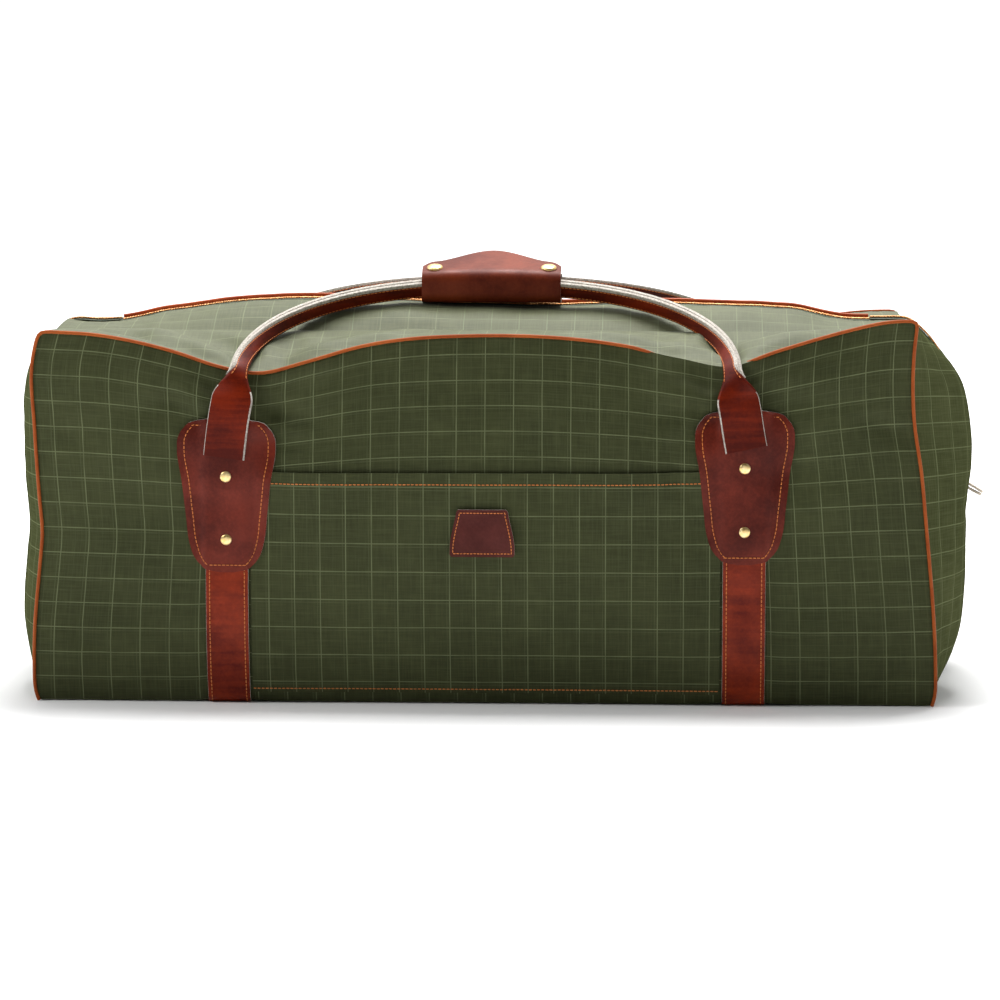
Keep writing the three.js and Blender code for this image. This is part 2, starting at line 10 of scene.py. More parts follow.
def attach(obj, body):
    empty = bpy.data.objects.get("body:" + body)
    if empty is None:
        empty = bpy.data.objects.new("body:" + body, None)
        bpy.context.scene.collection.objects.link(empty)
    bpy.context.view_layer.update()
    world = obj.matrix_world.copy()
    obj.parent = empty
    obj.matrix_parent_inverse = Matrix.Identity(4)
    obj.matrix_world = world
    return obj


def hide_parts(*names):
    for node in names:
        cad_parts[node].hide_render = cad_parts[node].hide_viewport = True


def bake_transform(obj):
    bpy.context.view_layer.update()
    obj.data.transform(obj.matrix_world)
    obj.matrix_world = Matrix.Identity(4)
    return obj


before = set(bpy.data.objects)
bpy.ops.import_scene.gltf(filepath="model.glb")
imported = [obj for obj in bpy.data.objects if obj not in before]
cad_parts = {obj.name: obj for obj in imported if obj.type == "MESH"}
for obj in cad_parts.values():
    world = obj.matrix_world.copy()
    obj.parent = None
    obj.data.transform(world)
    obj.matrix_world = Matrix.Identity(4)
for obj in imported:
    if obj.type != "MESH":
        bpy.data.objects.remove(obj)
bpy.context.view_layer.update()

# The weekender bag's looks. Lengths are in metres: X is the bag's length, -Y its front, Z up.
MM = 0.001
HALF_LENGTH = 345 * MM
HALF_DEPTH = 150 * MM
SEAM_HEIGHT = 286 * MM
FOLD_Y = 60 * MM
FOLD_HEIGHT = 283.5 * MM
FRONT_BULGE = 14 * MM
END_BULGE = 18 * MM
FLOOR_LIFT = 0.8 * MM
STRAP_ROOM = 2.6 * MM
CELL = 7.5 * MM
MOUTH_HALF = 300 * MM
FLAP_BEND_FROM = 290 * MM
FLAP_BEND_TO = 202 * MM
PIPING_RADIUS = 1.35 * MM
STRAP_X = 199.5 * MM
STRAP_HALF = 16.5 * MM
STRAP_THICK = 2.5 * MM
CHAPE_THICK = 2.8 * MM
CHAPE_LOW = 104.6 * MM
CHAPE_HIGH = 223.6 * MM
RIGHT_PATCH_RISE = 8 * MM
CHAPE_INSET = 5.6 * MM
RIVET_HEIGHTS = (130 * MM, 179 * MM)
RIVET_PROFILE = ((4.3, -0.6), (4.3, 0.3), (4.0, 0.8), (3.0, 1.15), (1.6, 1.32), (0.3, 1.38))
POCKET_HALF = 181 * MM
POCKET_TOP = 184 * MM
POCKET_BOTTOM = 9 * MM
ARCH_BASE = (189 * MM, -163 * MM, 260.5 * MM)
ARCH_TOP = (0, -13 * MM, 314.8 * MM)
ARCH_POWER = 2.15
GRIP_X = -1.5 * MM
GRIP_HALF = 55.5 * MM
GRIP_FRONT = 24.9 * MM
GRIP_FLOOR = 302.6 * MM
FLAP_HEIGHT = 326 * MM
ZIP_STOP_Z = 148 * MM
TEETH_PITCH = 2.3 * MM
LEG_DEPTH = 171.2 * MM
LABEL_X = -1.5 * MM
LABEL_LOW = 119 * MM
LABEL_HIGH = 155.5 * MM
GRIP_THICK = 2.6 * MM
FLAP_SLOPE = math.radians(15)
SNAP_X = 45.5 * MM
SNAP_BACK = 12.5 * MM
SNAP_PROFILE = ((6.3, -0.6), (6.4, 0.5), (6.1, 1.2), (5.0, 1.9), (3.0, 2.4), (1.0, 2.6), (0.2, 2.6))
PULL_HINGE = (373.2 * MM, 0, 160 * MM)
PULL_LENGTH = 20 * MM
PULL_HALF = 4.4 * MM
PULL_HANG = math.radians(30)


# ---------------------------------------------------------------- small tools
def smoothstep(low, high, value):
    share = np.clip((value - low) / (high - low), 0, 1)
    return share * share * (3 - 2 * share)


def bump(value, centre, width):
    return np.exp(-(((value - centre) / width) ** 2))


def smooth_curve(knots):
    """A smooth function through (place, value) pairs given in millimetres, level outside them."""
    at = np.array([k[0] for k in knots], float) * MM
    value = np.array([k[1] for k in knots], float) * MM
    slope = np.gradient(value, at)

    def curve(x):
        x = np.clip(x, at[0], at[-1])
        i = np.clip(np.searchsorted(at, x) - 1, 0, len(at) - 2)
        step = at[i + 1] - at[i]
        t = (x - at[i]) / step
        rise = value[i] + (value[i + 1] - value[i]) * (3 - 2 * t) * t * t
        return rise + step * t * (1 - t) * (slope[i] * (1 - t) - slope[i + 1] * t)

    return curve


def unit(vectors):
    return vectors / np.linalg.norm(vectors, axis=-1, keepdims=True)


def wander(points, scale, seed):
    """Smooth noise from -1 to 1 at each point."""
    shift = Vector((seed * 7.3, seed * 3.1, seed * 5.7))
    values = [noise.noise(Vector(p) * scale + shift) for p in points.reshape(-1, 3)]
    return np.array(values).reshape(points.shape[:-1])


def lengths(line):
    """How far along a line of points each point is."""
    return np.concatenate([[0], np.cumsum(np.linalg.norm(np.diff(line, axis=0), axis=1))])


def at_length(values, gone, at):
    """The rows of values, one for each point of a line, at a distance along it or at several."""
    return np.stack([np.interp(at, gone, values[:, k]) for k in range(values.shape[1])], axis=-1)


def resample(line, step):
    """Points about step apart along a line of points."""
    line = np.array(line, float)
    gone = lengths(line)
    count = max(2, int(round(gone[-1] / step)) + 1)
    return at_length(line, gone, np.linspace(0, gone[-1], count))


def ease(line, times):
    """The same line with its corners eased."""
    for _ in range(times):
        line[1:-1] = (line[:-2] + 2 * line[1:-1] + line[2:]) / 4
    return line


def tangents(line):
    return unit(np.gradient(line, axis=0))


def add_mesh(name, verts, faces, materials, painted=None, uvs=None, solid=True):
    """A smooth-shaded object. painted: each face's material number; uvs: each vertex's place on the cloth."""
    mesh = bpy.data.meshes.new(name)
    mesh.from_pydata([tuple(v) for v in np.asarray(verts, float)], [], [tuple(f) for f in faces])
    for material in materials:
        mesh.materials.append(material)
    if painted is not None:
        mesh.polygons.foreach_set("material_index", np.asarray(painted, np.int32))
    if uvs is not None:
        layer = mesh.uv_layers.new(name="cloth")
        corner = np.zeros(len(mesh.loops), np.int32)
        mesh.loops.foreach_get("vertex_index", corner)
        layer.data.foreach_set("uv", np.asarray(uvs, np.float32)[corner].ravel())
    if solid:
        edit = bmesh.new()
        edit.from_mesh(mesh)
        bmesh.ops.recalc_face_normals(edit, faces=edit.faces)
        edit.to_mesh(mesh)
        edit.free()
    mesh.polygons.foreach_set("use_smooth", np.ones(len(mesh.polygons), bool))
    obj = bpy.data.objects.new(name, mesh)
    bpy.context.scene.collection.objects.link(obj)
    return obj


def grid_faces(rows, columns, start=0, around=False):
    """Quads over rows x columns numbered vertices; around joins the last column to the first."""
    faces = []
    for i in range(rows - 1):
        here = start + i * columns
        there = here + columns
        for j in range(columns if around else columns - 1):
            k = (j + 1) % columns
            faces.append((here + j, here + k, there + k, there + j))
    return faces


def finish_piece(obj, body, slot, *nodes):
    """Hides the CAD nodes a piece stands for and ties the piece to its body; given the pair of bodies that
    would bend it, it only bakes the piece's placement into its mesh.
    """
    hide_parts(*nodes)
    if isinstance(body, str):
        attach(obj, body)
    else:
        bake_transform(obj)
    return obj


def slab(name, outer, inner, materials, uvs=None):
    """A closed sheet between two grids of points; its rim takes the second material."""
    rows, columns = outer.shape[:2]
    count = rows * columns
    faces = grid_faces(rows, columns)
    faces += [tuple(reversed(f)) for f in grid_faces(rows, columns, count)]
    painted = [0] * len(faces)
    loop = list(range(columns))
    loop += [i * columns + columns - 1 for i in range(1, rows)]
    loop += [(rows - 1) * columns + j for j in range(columns - 2, -1, -1)]
    loop += [i * columns for i in range(rows - 2, 0, -1)]
    for a, b in zip(loop, loop[1:] + loop[:1]):
        faces.append((b, a, a + count, b + count))
        painted.append(1)
    verts = np.concatenate([outer.reshape(-1, 3), inner.reshape(-1, 3)])
    if uvs is not None:
        uvs = np.concatenate([uvs.reshape(-1, 2)] * 2)
    obj = add_mesh(name, verts, faces, materials, painted, uvs)
    obj.data.set_sharp_from_angle(angle=math.radians(50))
    return obj


def sweep(name, line, across, outward, sections, materials, paint=None):
    """A solid along a line. sections has pairs (across, outward) for one ring, or for each point's ring."""
    line = np.array(line)
    across, outward = (np.broadcast_to(way, line.shape) for way in (across, outward))
    sections = np.broadcast_to(sections, (len(line),) + np.shape(sections)[-2:])
    rings = line[:, None] + sections[..., :1] * across[:, None] + sections[..., 1:] * outward[:, None]
    rows, columns = rings.shape[:2]
    faces = grid_faces(rows, columns, around=True)
    painted = [paint(f // columns, f % columns) if paint else 0 for f in range(len(faces))]
    faces += [tuple(range(columns)), tuple(range((rows - 1) * columns, rows * columns))]
    painted += [len(materials) - 1] * 2
    obj = add_mesh(name, rings.reshape(-1, 3), faces, materials, painted)
    obj.data.set_sharp_from_angle(angle=math.radians(50))
    return obj


def rounded(half_wide, half_thick, radius, steps=3):
    """The section of a strap with softened corners, as pairs (across, outward)."""
    points = []
    for corner in range(4):
        turn = corner * math.pi / 2
        sign_wide = (1, -1, -1, 1)[corner]
        sign_thick = (1, 1, -1, -1)[corner]
        for s in range(steps + 1):
            angle = turn + s / steps * math.pi / 2
            wide = sign_wide * (half_wide - radius) + radius * math.cos(angle)
            thick = sign_thick * (half_thick - radius) + radius * math.sin(angle)
            points.append((wide, thick))
    return np.array(points)


def round_section(radius, sides=8):
    turns = np.arange(sides) * 2 * math.pi / sides
    return np.stack([radius * np.cos(turns), radius * np.sin(turns)], axis=1)


def turned(profile, centre, axis, first, second, sides):
    """Verts and faces of a round solid. Its profile is (radius, height) pairs along the axis."""
    verts = []
    for radius, height in profile:
        for s in range(sides):
            turn = 2 * math.pi * s / sides
            ring = radius * (first * math.cos(turn) + second * math.sin(turn))
            verts.append(centre + axis * height + ring)
    faces = grid_faces(len(profile), sides, around=True)
    faces += [tuple(range(sides)), tuple(range((len(profile) - 1) * sides, len(profile) * sides))]
    return verts, faces


def lathe(profile, centre, axis, sides=32):
    """A round solid that stands on a centre. Its profile is in millimetres, from the base to the top."""
    axis = unit(np.array(axis, float))
    spare = np.array([1.0, 0, 0]) if abs(axis[0]) < 0.9 else np.array([0, 1.0, 0])
    first = unit(np.cross(axis, spare))
    profile = [(radius * MM, height * MM) for radius, height in profile]
    return turned(profile, np.array(centre), axis, first, np.cross(axis, first), sides)


def joined(parts):
    """One list of verts and faces from several."""
    verts, faces = [], []
    for part_verts, part_faces in parts:
        shift = len(verts)
        verts.extend(part_verts)
        faces.extend(tuple(i + shift for i in f) for f in part_faces)
    return verts, faces


STITCH_PROFILE = ((0.25, -0.5), (0.85, -0.36), (1.0, 0), (0.85, 0.36), (0.25, 0.5))


def stitches(name, lines, body, slot, pitch=3.2 * MM, length=2.5 * MM, radius=0.42 * MM):
    """Rows of short threads. Each line is (points, outward), with one direction or one for each point."""
    profile = [(fat * radius, share * length) for fat, share in STITCH_PROFILE]
    parts = []
    for points, outward in lines:
        points = np.array(points, float)
        outward = np.broadcast_to(outward, points.shape)
        gone = lengths(points)
        for at in np.arange(pitch / 2, gone[-1], pitch):
            ahead = at_length(points, gone, at + pitch * 0.3)
            behind = at_length(points, gone, at - pitch * 0.3)
            along, out = unit(ahead - behind), unit(at_length(outward, gone, at))
            centre = at_length(points, gone, at)
            parts.append(turned(profile, centre, along, np.cross(along, out), out, 6))
    finish_piece(add_mesh(name, *joined(parts), [ORANGE_THREAD]), body, slot)


# ---------------------------------------------------------------- materials
class Shader:
    """A material under construction: small helpers round its node tree."""

    def __init__(self, name, roughness, metallic=0.0, **sockets):
        self.material = bpy.data.materials.new(name)
        self.material.use_nodes = True
        self.tree = self.material.node_tree
        self.surface = self.tree.nodes["Principled BSDF"]
        self.surface.inputs["Roughness"].default_value = roughness
        self.surface.inputs["Metallic"].default_value = metallic
        for socket, value in sockets.items():
            label = socket.replace("_", " ").title().replace("Ior", "IOR")
            self.surface.inputs[label].default_value = value

    def node(self, kind, inputs=(), **settings):
        made = self.tree.nodes.new(kind)
        for key, value in settings.items():
            setattr(made, key, value)
        for key, value in dict(inputs).items():
            self.set(made.inputs[key], value)
        return made

    def set(self, socket, value):
        if isinstance(value, bpy.types.NodeSocket):
            self.tree.links.new(value, socket)
        else:
            socket.default_value = value

    def maths(self, operation, first, second=0.0, third=0.0):
        made = self.node("ShaderNodeMath", {0: first, 1: second, 2: third}, operation=operation)
        return made.outputs[0]

    def range(self, value, low, high, to_low=0.0, to_high=1.0):
        sockets = {"Value": value, "From Min": low, "From Max": high, "To Min": to_low, "To Max": to_high}
        return self.node("ShaderNodeMapRange", sockets, interpolation_type="SMOOTHSTEP").outputs[0]

    def noise(self, place, scale, detail=3.0, rough=0.55):
        sockets = {"Vector": place, "Scale": scale, "Detail": detail, "Roughness": rough}
        return self.node("ShaderNodeTexNoise", sockets).outputs["Fac"]

    def stretched(self, place, scale):
        return self.node("ShaderNodeVectorMath", {0: place, 1: scale}, operation="MULTIPLY").outputs[0]

    def mix(self, share, first, second):
        made = self.node("ShaderNodeMix", {"Factor": share}, data_type="RGBA")
        self.set(made.inputs[6], first)
        self.set(made.inputs[7], second)
        return made.outputs[2]

    def coords(self, kind="Object"):
        return self.node("ShaderNodeTexCoord").outputs[kind]

    def colour(self, value):
        self.set(self.surface.inputs["Base Color"], value)

    def roughness(self, value):
        self.set(self.surface.inputs["Roughness"], value)

    def relief(self, height, strength, distance):
        sockets = {"Height": height, "Strength": strength, "Distance": distance}
        bumped = self.node("ShaderNodeBump", sockets)
        self.set(self.surface.inputs["Normal"], bumped.outputs[0])


def rgb(red, green, blue):
    """A colour from its display values, 0 to 255."""

    def linear(value):
        value = value / 255
        return value / 12.92 if value <= 0.04045 else ((value + 0.055) / 1.055) ** 2.4

    return (linear(red), linear(green), linear(blue), 1.0)


CHECK = (22 * MM, 19.5 * MM)
# Lines in one square of the check: how far along it, half width, strength.
CHECK_LINES = ((0.0, 0.42 * MM, 0.5), (0.11, 0.35 * MM, 0.12), (0.5, 0.35 * MM, 0.05))


def canvas(name, check=CHECK, shift=(0.0, 0.0), dark=rgb(47, 51, 28), light=rgb(66, 70, 42), gleam=0.12):
    """Waxed canvas: fine weave, slubs both ways, faint handling marks and a thin windowpane check."""
    made = Shader(name, 0.66, specular_ior_level=gleam, sheen_weight=gleam / 3, sheen_roughness=0.4)
    cloth = made.node("ShaderNodeUVMap", uv_map="cloth").outputs[0]
    apart = made.node("ShaderNodeSeparateXYZ", {0: cloth})
    warp = made.noise(made.stretched(cloth, (900, 45, 1)), 1.0, 2)
    weft = made.noise(made.stretched(cloth, (45, 900, 1)), 1.0, 2)
    threads = made.maths("ADD", warp, weft)
    weave = made.noise(cloth, 1100, 1)
    worn = made.noise(cloth, 9, 4)
    creased = made.noise(cloth, 38, 5, 0.65)
    tone = made.maths("MULTIPLY", made.range(threads, 0.7, 1.3), 0.5)
    for layer, low, share in ((worn, 0.3, 0.3), (creased, 0.35, 0.2)):
        tone = made.maths("ADD", tone, made.range(layer, low, 0.7, 0, share))
    ground = made.mix(tone, dark, light)
    lines = None
    for pitch, start, crossing, place in zip(check, shift, (warp, weft), apart.outputs):
        step = made.maths("DIVIDE", made.maths("ADD", place, start), pitch)
        for offset, wide, strong in CHECK_LINES:
            near = made.maths("PINGPONG", made.maths("ADD", step, offset), 0.5)
            away = made.maths("MULTIPLY", near, pitch)
            line = made.range(away, wide * 0.35, wide * 1.35, strong, 0.0)
            line = made.maths("MULTIPLY", line, made.range(crossing, 0.25, 0.6, 0.55, 1.0))
            lines = line if lines is None else made.maths("MAXIMUM", lines, line)
    made.colour(made.mix(lines, ground, rgb(126, 134, 98)))
    height = made.maths("ADD", made.maths("MULTIPLY", weave, 0.6), made.maths("MULTIPLY", threads, 0.5))
    made.relief(height, 0.35, 0.35 * MM)
    return made.material


def leather(name, dark, light, gloss=0.42, coat=0.1, banded=0.0, grain=420, depth=0.12):
    """Pull-up leather: blotches, fine pores, and rubbed bands across a strap where it bends."""
    made = Shader(name, gloss, coat_weight=coat, coat_roughness=0.3, specular_ior_level=0.14)
    place = made.coords()
    blotch = made.range(made.noise(place, 26, 5, 0.6), 0.3, 0.72)
    pores = made.noise(place, grain, 3, 0.6)
    tone = made.maths("ADD", made.maths("MULTIPLY", blotch, 0.75), made.range(pores, 0.35, 0.75, 0, 0.25))
    if banded:
        bands = made.noise(made.stretched(place, (14, 14, 210)), 1.0, 4, 0.6)
        tone = made.maths("ADD", tone, made.range(bands, 0.35, 0.7, -banded, banded))
    made.colour(made.mix(tone, dark, light))
    made.roughness(made.range(blotch, 0.0, 1.0, gloss + 0.08, gloss - 0.06))
    made.relief(pores, depth, 0.5 * MM)
    return made.material


def raw_edge():
    """The pale fibrous edge of cut leather."""
    made = Shader("raw_edge", 0.85)
    fibre = made.noise(made.coords(), 700, 3)
    made.colour(made.mix(made.range(fibre, 0.3, 0.7), rgb(140, 132, 122), rgb(196, 190, 180)))
    made.relief(fibre, 0.4, 0.3 * MM)
    return made.material


def thread(name, colour, shade):
    """Twisted thread or tape in two tones."""
    made = Shader(name, 0.6)
    twist = made.noise(made.coords(), 1500, 1)
    made.colour(made.mix(twist, shade, colour))
    return made.material


def metal(name, colour, worn, roughness=0.3):
    """Metal that is a little rubbed."""
    made = Shader(name, roughness, 1.0)
    rub = made.noise(made.coords(), 260, 4)
    made.colour(made.mix(made.range(rub, 0.35, 0.7), colour, worn))
    made.roughness(made.range(rub, 0.3, 0.7, roughness - 0.06, roughness + 0.1))
    return made.material


CANVAS = canvas("canvas")
# Painted light: the top's canvas is a lighter copy of the walls' cloth, standing in for the overhead light on
# the top.
CANVAS_TOP_PAINTED_LIGHT = canvas("canvas_top_painted_light", CHECK, (0.0, 6 * MM), rgb(68, 72, 46), rgb(90, 94, 64), 0.3)
# Painted light: the ends' canvas is a copy of the walls' cloth, toned lighter and without sheen for how light
# falls on the ends.
CANVAS_END_PAINTED_LIGHT = canvas("canvas_end_painted_light", CHECK, (0.0, 0.0), rgb(57, 61, 38), rgb(78, 82, 54), 0.0)
CANVAS_POCKET = canvas("canvas_pocket", (20 * MM, 22 * MM), (7 * MM, 4 * MM))
PIPING = leather("piping", rgb(136, 60, 20), rgb(166, 84, 34), 0.55, 0.0)
STRAP_LEATHER = leather("strap_leather", rgb(88, 18, 3), rgb(142, 46, 13), 0.42, 0.01, banded=0.16)
HANDLE_FACE = leather("handle_face_leather", rgb(70, 11, 0), rgb(112, 30, 4), 0.42, 0.0, banded=0.3)
# Painted shade: a darker copy of the handle leather, for the shade the rear handle sits in.
HANDLE_PAINTED_SHADE = leather("handle_painted_shade_leather", rgb(58, 16, 5), rgb(94, 30, 11), 0.42, 0.02)
PATCH_LEATHER = leather("patch_leather", rgb(66, 16, 7), rgb(116, 42, 27), 0.42, 0.01)
GRIP_LEATHER = leather("grip_leather", rgb(82, 25, 8), rgb(124, 50, 22), 0.46, 0.0)
PULL_LEATHER = leather("pull_leather", rgb(186, 170, 150), rgb(214, 204, 190), 0.6, 0.0)
FACING_LEATHER = leather("facing_leather", rgb(150, 62, 26), rgb(186, 92, 48), 0.45, 0.1)
LABEL_LEATHER = leather("label_leather", rgb(64, 24, 20), rgb(94, 42, 36), 0.5, 0.0)
RAW_EDGE = raw_edge()
ORANGE_THREAD = thread("orange_thread", rgb(224, 134, 58), rgb(176, 92, 34))
ZIP_TAPE = thread("zip_tape", rgb(62, 72, 48), rgb(44, 52, 34))
BRASS = metal("brass", rgb(226, 192, 122), rgb(244, 224, 172), 0.36)
COPPER = metal("zip_metal", rgb(200, 138, 88), rgb(226, 176, 122), 0.34)


# ---------------------------------------------------------------- the bag's skin
# The seams' and edges' heights or distances along the bag, as (place, value) in millimetres.
front_seam = smooth_curve(
    (
        (-345, 289), (-298, 286), (-240, 273.5), (-205, 262), (-174, 257), (-139, 265.5),
        (-95, 278), (0, 286.5), (104, 279.5), (150, 270), (187, 264), (225, 276),
        (276, 291), (307, 298), (345, 299),
    )
)
rear_seam = smooth_curve(
    (
        (-345, 266), (-300, 268), (-240, 262), (-190, 254), (-120, 270), (0, 284),
        (110, 278), (190, 262), (250, 276), (300, 283), (345, 284),
    )
)
ridge_height = smooth_curve(
    (
        (-345, 287), (-296, 286), (-265, 294), (-215, 301), (-165, 303),
        (0, 301), (213, 298), (245, 296), (281, 289), (345, 290),
    )
)
left_edge = smooth_curve(
    ((0, -352), (57, -351), (109, -346), (131, -344), (160, -346), (212, -349), (265, -350), (290, -344))
)
right_edge = smooth_curve(((0, 348), (49, 346.5), (146, 338), (175, 335), (222, 328), (266, 328), (300, 333)))


def top_height(x, y):
    """Height of the top: it falls from the fold to each seam, and rises from the fold to the zip."""
    seam = np.where(y < 0, front_seam(x), rear_seam(x))
    depth = np.abs(y)
    share = np.clip((HALF_DEPTH - depth) / (HALF_DEPTH - FOLD_Y), 0, 1)
    outside = seam + (FOLD_HEIGHT - seam) * share**1.15
    inside = FOLD_HEIGHT + (ridge_height(x) - FOLD_HEIGHT) * (1 - np.clip(depth / FOLD_Y, 0, 1) ** 2)
    return np.where(depth > FOLD_Y, outside, inside)


def fullness(a, b):
    """How far a stuffed panel stands out at (a, b), each from -1 to 1: 1 in the middle and 0 at its edges."""
    return (1 - a**4) * (1 - b**4)


def fan(dx, dy, reach, count, turn):
    """Folds that spread from a point where the cloth is gathered, as a height from -1 to 1."""
    away = np.hypot(dx, dy)
    angle = np.arctan2(dy, dx)
    bend = 0.35 * np.sin(away / (16 * MM) + turn)
    return away / reach * np.exp(1 - away / reach) * np.cos(count * (angle + bend) + turn)


def valley(x, y, start, end, width):
    """A crease along a straight line, as a depth from 0 to 1 that fades to its ends."""
    along = np.array(end, float) - np.array(start, float)
    length = np.hypot(*along)
    along = along / length
    gone = ((x - start[0]) * along[0] + (y - start[1]) * along[1]) / length
    off = (x - start[0]) * along[1] - (y - start[1]) * along[0]
    return bump(off, 0, width) * smoothstep(0.0, 0.25, gone) * smoothstep(1.0, 0.5, gone)


def crease(height, x, y, rows):
    """Adds creases at both ends of the bag. Rows are (height, start, end, width) in millimetres."""
    for sign in (-1, 1):
        for rise, start, end, width in rows:
            start = (sign * start[0] * MM, start[1] * MM)
            end = (sign * end[0] * MM, end[1] * MM)
            height += rise * MM * valley(x, y, start, end, width * MM)


def folds(x, y):
    """Soft rolls in the top cloth, which fan out from each handle's dip and fade before the fold line."""
    height = np.zeros_like(x)
    for centre, turn in ((-190 * MM, 0.4), (190 * MM, 2.2)):
        for side, extra in ((-1, 0.0), (1, 1.7)):
            dx = x - centre
            dy = np.abs(y - side * HALF_DEPTH)
            height += 3.6 * MM * fan(dx, dy, 44 * MM, 5, turn + extra) * np.sin(np.arctan2(dy, dx))
    rows = (
        (-5, (170, -142), (40, -104), 9),
        (4, (170, -128), (20, -84), 12),
        (-5, (205, -142), (325, -88), 10),
        (3, (205, -122), (290, -70), 11),
    )
    crease(height, x, y, rows)
    depth = np.abs(y)
    fade = smoothstep(FOLD_Y, FOLD_Y + 25 * MM, depth) * smoothstep(HALF_DEPTH, HALF_DEPTH - 10 * MM, depth)
    return height * fade


def wall_folds(x, z):
    """Folds in the front and back walls, below where the handles pull the seam down."""
    height = np.zeros_like(x)
    for centre, turn in ((-190 * MM, 1.1), (190 * MM, 0.2)):
        height += 3.2 * MM * fan(x - centre, 262 * MM - z, 46 * MM, 4, turn)
    rows = (
        (-4, (172, 250), (122, 226), 8),
        (4, (172, 240), (118, 212), 10),
        (-4, (225, 250), (300, 218), 11),
        (-3, (332, 60), (262, 22), 9),
        (-3, (336, 200), (275, 226), 12),
    )
    crease(height, x, z, rows)
    fade = smoothstep(HALF_LENGTH, HALF_LENGTH - 12 * MM, np.abs(x))
    fade = fade * smoothstep(SEAM_HEIGHT, SEAM_HEIGHT - 26 * MM, z)
    strapped = bump(np.abs(x), STRAP_X, 30 * MM) * smoothstep(235 * MM, 215 * MM, z)
    return height * fade * (1 - np.clip(strapped, 0, 1)) * smoothstep(0, 15 * MM, z)


ALONG = round(2 * HALF_LENGTH / CELL)
DEEP = round(2 * HALF_DEPTH / CELL)
UP = round(SEAM_HEIGHT / CELL)


def end_swell(b, c, sign):
    """How far an end stands out: a lobe to each side of the zip, fuller at the right end."""
    beside_zip = np.sin(np.clip(np.abs(b), 0, 1) * math.pi) ** 2
    if sign > 0:
        full = 0.79 + 0.59 * (1 + c) ** 2 + 0.9 * beside_zip
    else:
        full = 1 + 0.3 * beside_zip
    return END_BULGE * fullness(b, c) * full


def place(i, j, k, cut=False):
    """Points of the skin from lattice places, i along, j in depth and k up. cut: before it is filled."""
    a, b, c = 2 * i / ALONG - 1, 2 * j / DEEP - 1, k / UP
    x, y = HALF_LENGTH * a, HALF_DEPTH * b
    level = c * SEAM_HEIGHT
    pulled = np.where(a > 0, right_edge(level) - HALF_LENGTH, left_edge(level) + HALF_LENGTH)
    x = x + pulled * smoothstep(0.35, 1, np.abs(a))
    dip = 0 if cut else 1
    top = top_height(x, y)
    lid = np.where(np.abs(y) < FOLD_Y * 1.001, top, top * dip + (1 - dip) * SEAM_HEIGHT)
    room = FLOOR_LIFT + STRAP_ROOM * bump(np.abs(x), STRAP_X, 26 * MM) ** 2
    z = room + (SEAM_HEIGHT - room) * c + (lid - SEAM_HEIGHT) * c**3
    walls = np.abs(b) > 0.999
    ends = np.abs(a) > 0.999
    lids = c > 0.999
    full = fullness(a, 2 * c - 1)
    foot = 3 * MM * np.exp(-level / (5 * MM))
    out = FRONT_BULGE * full - foot + wall_folds(x, level) * dip
    y = np.where(walls, y + np.sign(b) * out, y)
    swell = np.where(a > 0, end_swell(b, 2 * c - 1, 1), end_swell(b, 2 * c - 1, -1))
    x = np.where(ends, x + np.sign(a) * (swell - foot), x)
    z = np.where(lids & ~walls & ~ends, z + folds(x, y) * dip, z)
    return np.stack([x, y, z], axis=-1)


def lattice(first, second, third):
    """Arrays of the three lattice numbers over their ranges."""
    return [g.astype(float) for g in np.meshgrid(first, second, third, indexing="ij")]


SIDES = {
    "front": (range(ALONG + 1), [0], range(UP + 1)),
    "back": (range(ALONG + 1), [DEEP], range(UP + 1)),
    "bottom": (range(ALONG + 1), range(DEEP + 1), [0]),
    "top": (range(ALONG + 1), range(DEEP + 1), [UP]),
    "left": ([0], range(DEEP + 1), range(UP + 1)),
    "right": ([ALONG], range(DEEP + 1), range(UP + 1)),
}


def refine(grid, axis):
    """Twice the points along one axis of a grid, on a smooth curve through the old ones."""
    grid = np.moveaxis(grid, axis, 0)
    before = np.concatenate([2 * grid[:1] - grid[1:2], grid[:-2]])
    after = np.concatenate([grid[2:], 2 * grid[-1:] - grid[-2:-1]])
    middle = (9 * (grid[:-1] + grid[1:]) - before - after) / 16
    out = np.empty((2 * len(grid) - 1,) + grid.shape[1:])
    out[0::2] = grid
    out[1::2] = middle
    return np.moveaxis(out, 0, axis)


def held(i, j, k, point):
    """1 where the cloth is sewn down or lies on the floor, else 0."""
    x, y, z = (np.abs(point[..., n]) for n in range(3))
    walls = (j == 0) | (j == DEEP)
    ends = (i == 0) | (i == ALONG)
    lids = k == UP
    sewn = (k == 0) | (walls & ends) | (walls & lids) | (ends & lids & (y < FOLD_Y))
    strapped = walls & (np.abs(x - STRAP_X) < 21 * MM) & (z < CHAPE_HIGH + RIGHT_PATCH_RISE)
    patched = walls & (np.abs(x - STRAP_X) < 38 * MM) & (z > 108 * MM) & (z < CHAPE_HIGH + RIGHT_PATCH_RISE)
    folded = lids & (np.abs(y - FOLD_Y) < MM)
    zipped = lids & (y < MM) | ends & (j == DEEP // 2) & (z > ZIP_STOP_Z - 10 * MM)
    return (sewn | strapped | patched | folded | zipped).astype(float)


DRAPE_FRAMES = 30
SLACK = 1.02
CLOTH = {
    "quality": 7,
    "mass": 0.004,
    "tension_stiffness": 22,
    "compression_stiffness": 22,
    "shear_stiffness": 10,
    "bending_stiffness": 0.6,
    "air_damping": 4,
    "use_pressure": True,
    "uniform_pressure_force": 8.0,
}


